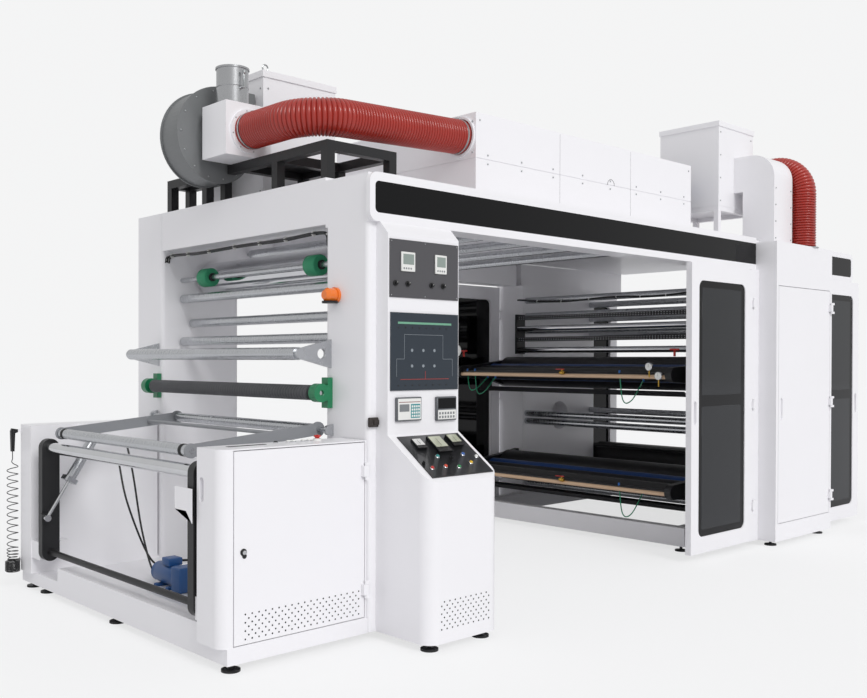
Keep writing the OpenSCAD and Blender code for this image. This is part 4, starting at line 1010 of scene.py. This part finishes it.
def rewind_motor():
    """Blue geared motor on the rewinder's tray, with its fan cover, terminal box and feet."""
    x, y0, y1, r = 0.53, 1.38, 1.60, 0.068
    z = TRAY_Z + 0.080
    body = facing(turned([(r, 0), (r, y1 - y0), (r * 0.94, y1 - y0 + 0.008), (r * 0.94, y1 - y0 + 0.055), (r * 0.7, y1 - y0 + 0.066)], 36), "+y")
    gear = slab(x - 0.075, x + 0.075, y0 - 0.12, y0 + 0.002, TRAY_Z, z + 0.080, 0.014, 3)
    feet = [slab(x - 0.085, x + 0.085, y, y + 0.03, TRAY_Z, TRAY_Z + 0.022, 0.004) for y in (y0 + 0.02, y1 - 0.05)]
    box = slab(x - 0.05, x + 0.05, y0 + 0.06, y0 + 0.16, z + r - 0.006, z + r + 0.045, 0.008, 2)
    piece("rewind_motor", join(moved(body, (x, y0, z)), gear, *feet, box), blue_enamel())


def inner_cables():
    """Black cables and air hoses inside the rewinder and the loom under the tower's header."""
    motor = smooth_path([(0.58, 1.48, 0.28), (0.66, 1.44, 0.26), (0.72, 1.30, 0.135), (0.70, 0.95, 0.124), (0.76, 0.60, 0.126), (0.80, 0.30, 0.16)], 60)
    air = smooth_path([(0.52, 2.11, 1.02), (0.53, 2.03, 0.80), (0.55, 1.93, 0.40), (0.58, 1.80, 0.126), (0.66, 1.66, 0.124), (0.86, 1.50, 0.126)], 60)
    second = smooth_path([(0.46, 2.11, 0.90), (0.48, 2.01, 0.60), (0.62, 1.96, 0.22), (0.78, 1.98, 0.124), (0.90, 2.05, 0.126)], 60)
    cables = [tube(motor, 0.008, 10), tube(air, 0.007, 10, (0.1, 1, 0.1)), tube(second, 0.007, 10, (0.1, 1, 0.1))]
    under = span("header_end_beam")[0][2]
    loom = smooth_path([(0.97, 0.40, under - 0.10), (0.975, 0.47, under - 0.016), (0.97, 0.90, under - 0.024), (0.98, 1.40, under - 0.018), (0.97, 1.90, under - 0.026), (0.975, 2.30, under - 0.016), (0.97, 2.35, under - 0.06)], 90)
    r = sizes().loom_d / 2
    cables += [tube(loom, r, 10), tube(loom + [0.016, 0, -0.006], r * 0.7, 8), tube(loom + [-0.014, 0, -0.004], r * 0.6, 8)]
    piece("inner_cables", join(*cables), black_plastic())
    tie = facing(turned([(0.008, -0.0025), (0.0185, -0.0025), (0.0185, 0.0025), (0.008, 0.0025)], 14), "+y")
    piece("header_loom_ties", copies(moved(tie, (0.001, 0, -0.002)), loom[10:84:9]), white_plastic())


# Print decks

DECKS = (("lower", 0.52), ("upper", 1.48))
DECK_Y = (0.21, 2.53)


def across(x, z, r, y0=DECK_Y[0], y1=DECK_Y[1], sides=24):
    """A round bar across the machine from one side plate to the other."""
    return moved(facing(turned([(r, 0), (r, y1 - y0)], sides), "+y"), (x, y0, z))


def roller_with_ends(x, z, r, y0=0.27, y1=2.47):
    """An idler's chrome face and the dark collars at its two ends."""
    end = facing(turned([(r * 0.5, -0.012), (r * 0.92, -0.008), (r * 0.92, 0.018), (r * 0.5, 0.020)], 20), "+y")
    return across(x, z, r, y0 + 0.02, y1 - 0.02), copies(end, [(x, y0 + 0.012, z), (x, y1 - 0.020, z)])


def deck_rods():
    """Beige rods at the tips of the decks, with a brass valve and its red lever on each."""
    left = span("left_units")[0][0]
    x = left + 0.045
    rods, valves, levers = [], [], []
    for name, level in DECKS:
        rods.append(across(x, level - 0.02, 0.018))
        valve = join(facing(turned([(0.013, -0.026), (0.013, -0.014), (0.018, -0.012), (0.018, 0.012), (0.013, 0.014), (0.013, 0.026)], 12), "+y"),
                     turned([(0.009, 0.0), (0.009, 0.026), (0.006, 0.028)], 12))
        valves.append(moved(valve, (x - 0.022, 1.27, level + 0.006)))
        levers.append(slab(x - 0.030, x - 0.014, 1.25, 1.34, level + 0.032, level + 0.040, 0.003, 2))
    piece("deck_rods", join(*rods), beige_anodised())
    piece("deck_valves", join(*valves), brass())
    top = span("left_units")[1][2]
    for y in (0.18, 2.56):
        lever = join(turned([(0.010, 0), (0.010, 0.045), (0.006, 0.05)], 14), slab(-0.008, 0.008, -0.045, 0.045, 0.05, 0.064, 0.006, 3))
        levers.append(moved(lever, (left + 0.10, y, top)))
    piece("deck_levers", join(*levers), red_plastic())


def deck_gauges():
    """Two round pressure gauges of the upper deck: chrome case, white dial and a dark needle."""
    x = span("left_units")[0][0] + 0.02
    case = facing(turned([(0.030, 0), (0.033, 0.002), (0.033, 0.022), (0.029, 0.025)], 32), "-x")
    dial = facing(turned([(0.028, 0.0245), (0.028, 0.0256)], 32), "-x")
    needle = slab(-0.0266, -0.0258, -0.001, 0.001, -0.004, 0.022, 0.0003)
    places = [(x, 0.36, 1.545), (x, 0.27, 1.470)]
    piece("gauge_cases", copies(case, places), chrome())
    piece("gauge_dials", copies(dial, places), white_plastic())
    piece("gauge_needles", copies(needle, places), black_rubber_and_hole_shade())
    stem = turned([(0.006, -0.06), (0.006, 0)], 12)
    piece("gauge_stems", copies(moved(stem, (-0.010, 0, -0.028)), places), brass())


def web_guides():
    """Idlers, punched air bars and the cable loom above the upper deck, at the print frames."""
    x = span("near_print_frame")[0][0] - 0.10
    faces, ends = zip(*[roller_with_ends(x, z, 0.030) for z in (1.70, 1.92)])
    piece("deck_idlers", join(*faces), chrome())
    bars = [slab(x - 0.03, x - 0.005, 0.28, 2.46, z - 0.022, z + 0.022, 0.003) for z in (1.81, 2.03)]
    arms = [slab(x - 0.03, x + 0.11, y - 0.012, y + 0.012, 1.66, 2.07, 0.004) for y in (0.272, 2.468)]
    piece("deck_idler_ends", join(*ends, *bars, *arms), black_coat())
    hole = facing(turned([(0.005, 0), (0.005, 0.0006), (0.004, 0.0008)], 10), "-x")
    holes = [(x - 0.0302, y, z + dz) for y in np.arange(0.32, 2.43, 0.03) for z in (1.81, 2.03) for dz in (-0.010, 0.010)]
    piece("air_bar_holes", copies(hole, holes), enamel("air_bar_hole", "#B9BBBD", 0.5), smooth=False)
    sag = smooth_path([(x, 0.27, 2.22), (x - 0.01, 0.8, 2.185), (x, 1.3, 2.20), (x - 0.01, 1.9, 2.18), (x, 2.47, 2.22)], 60)
    loom = tube(sag, sizes().loom_d / 2, 10)
    second = tube(sag + [0.018, 0, 0.006], sizes().loom_d / 3, 8)
    tie = facing(turned([(0.006, -0.003), (0.012, -0.003), (0.012, 0.003), (0.006, 0.003)], 14), "+y")
    piece("cable_loom", join(loom, second), black_plastic())
    piece("loom_ties", copies(tie, sag[4::8]), white_plastic())


def air_tubes():
    """Green air tubes looping from the side plates down to the doctor chambers, in blue fittings."""
    x = span("left_units")[0][0] + 0.03
    tubes, fits = [], []
    for name, level in DECKS:
        for k, y in enumerate((2.30, 2.20, 0.52)):
            drop = 0.16 + 0.03 * k
            path = smooth_path([(x + 0.02, y + 0.16, level + 0.02), (x, y + 0.11, level - drop), (x + 0.01, y + 0.03, level - drop), (x + 0.14, y, level - 0.05)], 40)
            tubes.append(tube(path, 0.005, 8, (1, 0.1, 0.1)))
            fits += [path[0], path[-1]]
    piece("air_tubes", join(*tubes), air_tube())
    piece("air_fittings", copies(turned([(0.007, -0.012), (0.009, -0.010), (0.009, 0.010), (0.007, 0.012)], 12), fits), blue_plastic())


def number_discs():
    """White number discs of the left decks, each with a plain raised figure."""
    x = span("left_units")[0][0] - 0.002
    disc = facing(turned([(0.060, 0), (0.060, 0.003), (0.058, 0.004)], 36), "-x")
    stroke = smooth_path([(-0.0045, 0.016, 0.016), (-0.0045, 0.0, 0.032), (-0.0045, -0.016, 0.018), (-0.0045, -0.004, -0.006), (-0.0045, 0.018, -0.028)], 30)
    figure = join(tube(stroke, 0.0028, 6, (1, 0, 0)), tube([(-0.0045, 0.018, -0.028), (-0.0045, -0.018, -0.028)], 0.0028, 6, (1, 0, 0)))
    stem = slab(0.0, 0.012, -0.010, 0.010, -0.075, 0.0, 0.003)
    places = [(x, 2.56, top + 0.06) for name, top in (("lower", 0.67), ("upper", 1.63))]
    piece("number_discs", copies(disc, places), white_plastic())
    piece("number_figures", copies(figure, places), black_rubber_and_hole_shade())
    piece("number_disc_stems", copies(stem, places), zinc())


def handwheels():
    """Black handwheels on the near ends of the lower decks, each with its spokes and hub."""
    around = np.linspace(0, TAU, 41)
    rim = tube(np.stack([0.055 * np.cos(around), 0 * around, 0.055 * np.sin(around)], -1), 0.007, 10, (0, 1, 0))
    spokes = [slab(-0.05, 0.05, -0.004, 0.004, -0.006, 0.006, 0.003), slab(-0.006, 0.006, -0.004, 0.004, -0.05, 0.05, 0.003)]
    hub = facing(turned([(0.014, -0.022), (0.016, 0.0), (0.016, 0.010), (0.010, 0.012)], 20), "-y")
    wheel = join(rim, *spokes, hub)
    low, high = span("left_units")
    near = low[1] - 0.0225
    places = [(4.625, near, level) for name, level in DECKS]
    piece("handwheels", copies(wheel, places), black_plastic())


def door_windows():
    """Two smoked windows in each glazed door: a lighter pane inside the dark border."""
    for side, y_out in (("near", -0.0002), ("far", 0.0002)):
        for unit in ("left", "right"):
            low, high = span("door_glass_" + unit + "_" + side)
            y = low[1] if side == "near" else high[1]
            margin = 0.055
            z_mid = low[2] + (high[2] - low[2]) * 0.53
            panes = [slab(low[0] + margin, high[0] - margin, y - 0.0012, y + 0.0012, z0, z1, 0.001)
                     for z0, z1 in ((low[2] + margin, z_mid - 0.045), (z_mid + 0.045, high[2] - margin))]
            piece("window_panes_" + unit + "_" + side, join(*panes), smoked_pane(), unit + "_" + side + "_door")


def beacon_details():
    """Black base ring under the beacon's lens."""
    low, high = span("beacon")
    centre = (low + high) / 2
    radius = min(high[0] - low[0], high[1] - low[1]) / 2
    ring = turned([(radius + 0.002, 0), (radius + 0.003, 0.002), (radius + 0.003, 0.012), (radius + 0.0005, 0.014)], 32)
    piece("beacon_base_ring", moved(ring, (centre[0], centre[1], low[2])), black_plastic())


# Control panel

PANEL_Y = -0.1003
DESK = {"x": (1.04, 1.53), "origin": (-0.44, 0.93), "top": (-0.10, 1.17), "reach": (0.035, 0.391), "lift": 0.0062}


def desk_spot(across, down, lift=0.0):
    """A place on the desk's black plate: across it from the left and down it from the top, both
    0 to 1; the slope's direction and its square give Y and Z."""
    (y0, z0), (y1, z1) = DESK["origin"], DESK["top"]
    slope = np.array([y1 - y0, z1 - z0]) / math.hypot(y1 - y0, z1 - z0)
    square = np.array([-slope[1], slope[0]])
    first, last = DESK["reach"]
    y, z = np.array([y0, z0]) + slope * (last - down * (last - first)) + square * (DESK["lift"] + lift)
    return np.array([np.interp(across, (0, 1), DESK["x"]), y, z])


def on_desk(shape, across, down, lift=0.0):
    """Lays a shape made on the XY plane on the desk: its Y goes up the slope and its Z off it."""
    (y0, z0), (y1, z1) = DESK["origin"], DESK["top"]
    slope = np.array([y1 - y0, z1 - z0]) / math.hypot(y1 - y0, z1 - z0)
    x, y, z = shape[0].T
    points = np.stack([x, y * slope[0] - z * slope[1], y * slope[1] + z * slope[0]], -1)
    return points + desk_spot(across, down, lift), shape[1], shape[2]


def plate_on(x0, x1, z0, z1, proud, depth=0.0018, radius=0.0006):
    """A plate on the upright panel, standing proud of it."""
    return slab(x0, x1, PANEL_Y - proud, PANEL_Y - proud + depth, z0, z1, radius)


def desk_meters():
    """The desk's meters: white and beige-green faces in black rims, with a dark pointer each."""
    faces = (("white", 0.15, 0.30, 0.10, 0.33), ("large", 0.42, 0.64, 0.06, 0.45), ("speed", 0.74, 0.92, 0.05, 0.33))
    width, height = DESK["x"][1] - DESK["x"][0], DESK["reach"][1] - DESK["reach"][0]
    rims, pale, green, dark = [], [], [], []
    for name, s0, s1, t0, t1 in faces:
        half = np.array([(s1 - s0) * width, (t1 - t0) * height]) / 2
        s, t = (s0 + s1) / 2, (t0 + t1) / 2
        rims.append(on_desk(slab(-half[0], half[0], -half[1], half[1], 0, 0.010, 0.003), s, t))
        face = slab(-half[0] * 0.88, half[0] * 0.88, -half[1] * 0.45, half[1] * 0.88, 0.010, 0.0115, 0.001)
        (pale if name == "white" else green).append(on_desk(face, s, t))
        needle = slab(-0.0008, 0.0008, -half[1] * 0.3, half[1] * 0.6, 0.0115, 0.0122, 0.0003)
        dark.append(on_desk(needle, s, t))
    piece("desk_meter_rims", join(*rims), black_plastic())
    piece("desk_meter_white_face", join(*pale), white_plastic())
    piece("desk_meter_faces", join(*green), enamel("meter_face", "#C9CDB4", 0.3))
    piece("desk_meter_needles", join(*dark), black_rubber_and_hole_shade())


def desk_controls():
    """Push buttons, switches and the key switch of the desk, in their colours."""
    collar, cap = push_button(sizes().button_d / 2 * 0.85, 0.013)
    rows = {
        "teal": (0.33, 0.55), "blue": (0.75, 0.55), "red": (0.10, 0.80), "orange": (0.32, 0.79),
        "green": (0.515, 0.83), "yellow": (0.757, 0.76), "white": (0.93, 0.63),
    }
    codes = {"teal": "#1F8A86", "blue": "#2A5FB0", "red": "#C3251D", "orange": "#D9482A", "green": "#1E8A4A",
             "yellow": "#E5B822", "white": "#ECECE8"}
    piece("desk_button_collars", join(*[on_desk(collar, *place) for place in rows.values()]), chrome())
    for name, place in rows.items():
        piece("desk_button_" + name, on_desk(cap, *place), enamel(name + "_cap", codes[name], 0.28))
    knob = join(turned([(0.010, 0), (0.010, 0.004), (0.008, 0.005)], 20), slab(-0.002, 0.002, -0.009, 0.009, 0.004, 0.014, 0.001))
    piece("desk_switches", join(*[on_desk(knob, s, t) for s, t in ((0.05, 0.66), (0.53, 0.60))]), black_plastic())


def upright_panel():
    """The upright panel: instrument plate, two displays, four knobs, the mimic glass and two
    controllers with their keys."""
    instrument = plate_on(1.0, 1.55, 1.95, 2.28, 0.006, 0.0058, 0.001)
    piece("instrument_plate", instrument, enamel("graphite_plate", "#4A494D", 0.45), replaces=["control_panels"])
    desk = on_desk(slab(-0.245, 0.245, -0.178, 0.178, -0.006, 0.0, 0.001), 0.5, 0.5)
    piece("desk_plate", desk, enamel("black_desk_plate", "#17181A", 0.3), replaces=["control_panels"])
    screw = facing(screw_head(0.007), "-y")
    piece("instrument_screws", copies(screw, [(x, PANEL_Y - 0.006, z) for x in (1.012, 1.275, 1.538) for z in (1.962, 2.268)]), zinc())
    bezels, screens, strips = [], [], []
    for x0, x1 in ((1.081, 1.189), (1.351, 1.446)):
        bezels.append(plate_on(x0, x1, 2.100, 2.211, 0.016, 0.0105, 0.003))
        screens.append(plate_on(x0 + 0.012, x1 - 0.012, 2.140, 2.199, 0.0172))
        strips += [plate_on(x0 + 0.014 + i * 0.018, x0 + 0.024 + i * 0.018, 2.112, 2.122, 0.0172) for i in range(4)]
    piece("display_bezels", join(*bezels), white_plastic())
    piece("display_screens", join(*screens), screen_glass())
    piece("display_keys", join(*strips), enamel("key_grey", "#7A7D80", 0.4))
    knob = facing(turned([(0.017, 0), (0.017, 0.004), (0.011, 0.006), (0.010, 0.018), (0.008, 0.020)], 24), "-y")
    mark = slab(-0.001, 0.001, -0.0212, -0.0195, 0.001, 0.008, 0.0004)
    places = [(x, PANEL_Y - 0.006, 2.03) for x in (1.041, 1.136, 1.326, 1.421)]
    piece("panel_knobs", copies(knob, places), black_plastic())
    piece("panel_knob_marks", copies(mark, places), white_plastic())
    piece("mimic_glass", plate_on(1.007, 1.55, 1.42, 1.865, 0.008, 0.0078, 0.001), kept("mimic_glass", mimic_paint),
          replaces=["control_panels"])
    mimic_lines()
    controllers()


def mimic_paint(name):
    """Blue-grey polycarbonate overlay of the mimic panel, glossy."""
    return coated(name, hex_linear("#2F3740"), 0.14, 20.0, 0.0, spec=0.35, vary=0.1)


def mimic_lines():
    """Plain strokes of the mimic panel: web path in grey, drive line in red, a pale green bar and
    small square lamps."""
    y = PANEL_Y - 0.0081
    path = [(1.05, 1.50), (1.05, 1.60), (1.11, 1.60), (1.11, 1.74), (1.42, 1.74), (1.42, 1.60), (1.50, 1.60), (1.50, 1.50)]
    runs = [strip((min(a[0], b[0]) - 0.001, y - 0.001, min(a[1], b[1]) - 0.001), (max(a[0], b[0]) + 0.001, y, max(a[1], b[1]) + 0.001))
            for a, b in zip(path, path[1:])]
    rollers = facing(turned([(0.009, 0), (0.009, 0.001), (0.006, 0.001)], 20), "-y")
    spots = [(x, y, z) for x in (1.17, 1.26, 1.35) for z in (1.56, 1.65)]
    piece("mimic_web_lines", join(*runs, copies(rollers, spots)), enamel("mimic_grey", "#8D959C", 0.4), smooth=False)
    red = [strip((1.08, y - 0.001, 1.482), (1.47, y, 1.485)), strip((1.275, y - 0.001, 1.482), (1.278, y, 1.53))]
    piece("mimic_drive_line", join(*red), enamel("mimic_red", "#B03028", 0.4), smooth=False)
    piece("mimic_bar", strip((1.06, y - 0.001, 1.80), (1.49, y, 1.812)), enamel("mimic_green", "#6FA98C", 0.4), smooth=False)
    lamps = [strip((x, y - 0.0015, z), (x + 0.008, y, z + 0.008)) for x in np.arange(1.06, 1.50, 0.055) for z in (1.445, 1.775)]
    piece("mimic_lamps", join(*lamps), black_rubber_and_hole_shade(), smooth=False)


def controllers():
    """The two controllers under the mimic glass."""
    rims = [plate_on(1.044, 1.239, 1.245, 1.382, 0.020, 0.0198, 0.004), plate_on(1.362, 1.528, 1.237, 1.379, 0.020, 0.0198, 0.004)]
    piece("controller_rims", join(*rims), enamel("controller_grey", "#5A5D62", 0.4), replaces=["control_panels"])
    piece("controller_faces", join(plate_on(1.052, 1.231, 1.253, 1.374, 0.0212), plate_on(1.370, 1.520, 1.245, 1.300, 0.0212)), white_plastic())
    piece("controller_line", plate_on(1.058, 1.225, 1.352, 1.356, 0.0220), enamel("dark_red_print", "#7E2A2A", 0.4))
    piece("controller_display", plate_on(1.372, 1.518, 1.308, 1.370, 0.0214), dark_glass())
    piece("controller_key_block", plate_on(1.150, 1.224, 1.262, 1.342, 0.0220), enamel("teal_print", "#2C8C92", 0.4))
    keys = [plate_on(1.156 + i * 0.017, 1.168 + i * 0.017, 1.268 + k * 0.018, 1.280 + k * 0.018, 0.0230)
            for i in range(4) for k in range(4)]
    piece("controller_keys", join(*keys), white_plastic())
    dark = [plate_on(1.378 + i * 0.023, 1.392 + i * 0.023, 1.252 + k * 0.022, 1.266 + k * 0.022, 0.0222)
            for i in range(6) for k in range(2)]
    dark += [plate_on(1.062, 1.138, 1.300, 1.342, 0.0222)]
    piece("controller_dark_keys", join(*dark), enamel("key_grey", "#7A7D80", 0.4))


# Operators

class PRESS_OT_stage(bpy.types.Operator):
    """Make the camera, the lamps and the floor"""

    bl_idname = "press.stage"
    bl_label = "Stage"

    def execute(self, context):
        set_view()
        aim_camera()
        studio()
        return {"FINISHED"}


class PRESS_OT_cord(bpy.types.Operator):
    """Make the blow gun's spiral hose and its fittings"""

    bl_idname = "press.cord"
    bl_label = "Blow-gun hose"

    def execute(self, context):
        blow_gun_hose()
        blow_gun_details()
        return {"FINISHED"}


class PRESS_OT_finishes(bpy.types.Operator):
    """Give every CAD node its finish"""

    bl_idname = "press.finishes"
    bl_label = "Finishes"

    def execute(self, context):
        finish_nodes()
        return {"FINISHED"}


class PRESS_OT_hoses(bpy.types.Operator):
    """Make the two corrugated hoses and their clamps"""

    bl_idname = "press.hoses"
    bl_label = "Corrugated hoses"

    def execute(self, context):
        hoses()
        return {"FINISHED"}


class PRESS_OT_roof(bpy.types.Operator):
    """Make the joints, screws, eyes, guards and motors on the roof"""

    bl_idname = "press.roof"
    bl_label = "Roof fittings"

    def execute(self, context):
        roof_details()
        stack_details()
        fan_details()
        right_motor()
        return {"FINISHED"}


class PRESS_OT_vents(bpy.types.Operator):
    """Make the punched vent holes"""

    bl_idname = "press.vents"
    bl_label = "Vent holes"

    def execute(self, context):
        vents()
        return {"FINISHED"}


class PRESS_OT_cabinet(bpy.types.Operator):
    """Make the lock, the buttons, the latch and the beacon's ring"""

    bl_idname = "press.cabinet"
    bl_label = "Cabinet fittings"

    def execute(self, context):
        cabinet_fittings()
        arm_fittings()
        rewind_motor()
        inner_cables()
        beacon_details()
        return {"FINISHED"}


class PRESS_OT_rollers(bpy.types.Operator):
    """Make the spreader's skin, the roller bands and the nip wheels"""

    bl_idname = "press.rollers"
    bl_label = "Roller fittings"

    def execute(self, context):
        spreader()
        roller_ends()
        nip_wheels()
        return {"FINISHED"}


class PRESS_OT_panel(bpy.types.Operator):
    """Make the meters, buttons, displays, mimic glass and controllers"""

    bl_idname = "press.panel"
    bl_label = "Control panel"

    def execute(self, context):
        desk_meters()
        desk_controls()
        upright_panel()
        return {"FINISHED"}


class PRESS_OT_decks(bpy.types.Operator):
    """Make the rods, valves, gauges, idlers, tubes and handwheels"""

    bl_idname = "press.decks"
    bl_label = "Deck fittings"

    def execute(self, context):
        deck_rods()
        deck_gauges()
        web_guides()
        air_tubes()
        number_discs()
        handwheels()
        return {"FINISHED"}


class PRESS_OT_windows(bpy.types.Operator):
    """Make the smoked windows of the glazed doors"""

    bl_idname = "press.windows"
    bl_label = "Door windows"

    def execute(self, context):
        door_windows()
        return {"FINISHED"}


OPERATORS = [
    PRESS_OT_stage, PRESS_OT_cord, PRESS_OT_finishes, PRESS_OT_hoses, PRESS_OT_roof, PRESS_OT_vents,
    PRESS_OT_cabinet, PRESS_OT_rollers, PRESS_OT_panel, PRESS_OT_decks, PRESS_OT_windows,
]


class PRESS_PT_panel(bpy.types.Panel):
    """Lists the pieces, the sizes and the colours"""

    bl_idname = "PRESS_PT_panel"
    bl_label = "Flexographic press"
    bl_space_type = "VIEW_3D"
    bl_region_type = "UI"
    bl_category = "Press"

    def draw(self, context):
        for operator in OPERATORS:
            self.layout.operator(operator.bl_idname)
        for group in (context.scene.press_sizes, context.scene.press_finishes):
            for name in group.bl_rna.properties.keys():
                if name not in ("name", "rna_type"):
                    self.layout.prop(group, name)


CLASSES = [PressFinishes, PressSizes, *OPERATORS, PRESS_PT_panel]


def register():
    for item in CLASSES:
        bpy.utils.register_class(item)
    bpy.types.Scene.press_finishes = PointerProperty(type=PressFinishes)
    bpy.types.Scene.press_sizes = PointerProperty(type=PressSizes)


def unregister():
    del bpy.types.Scene.press_sizes
    del bpy.types.Scene.press_finishes
    for item in reversed(CLASSES):
        bpy.utils.unregister_class(item)


def main():
    register()
    for operator in OPERATORS:
        getattr(bpy.ops.press, operator.bl_idname.split(".")[1])()


if __name__ == "__main__":
    main()
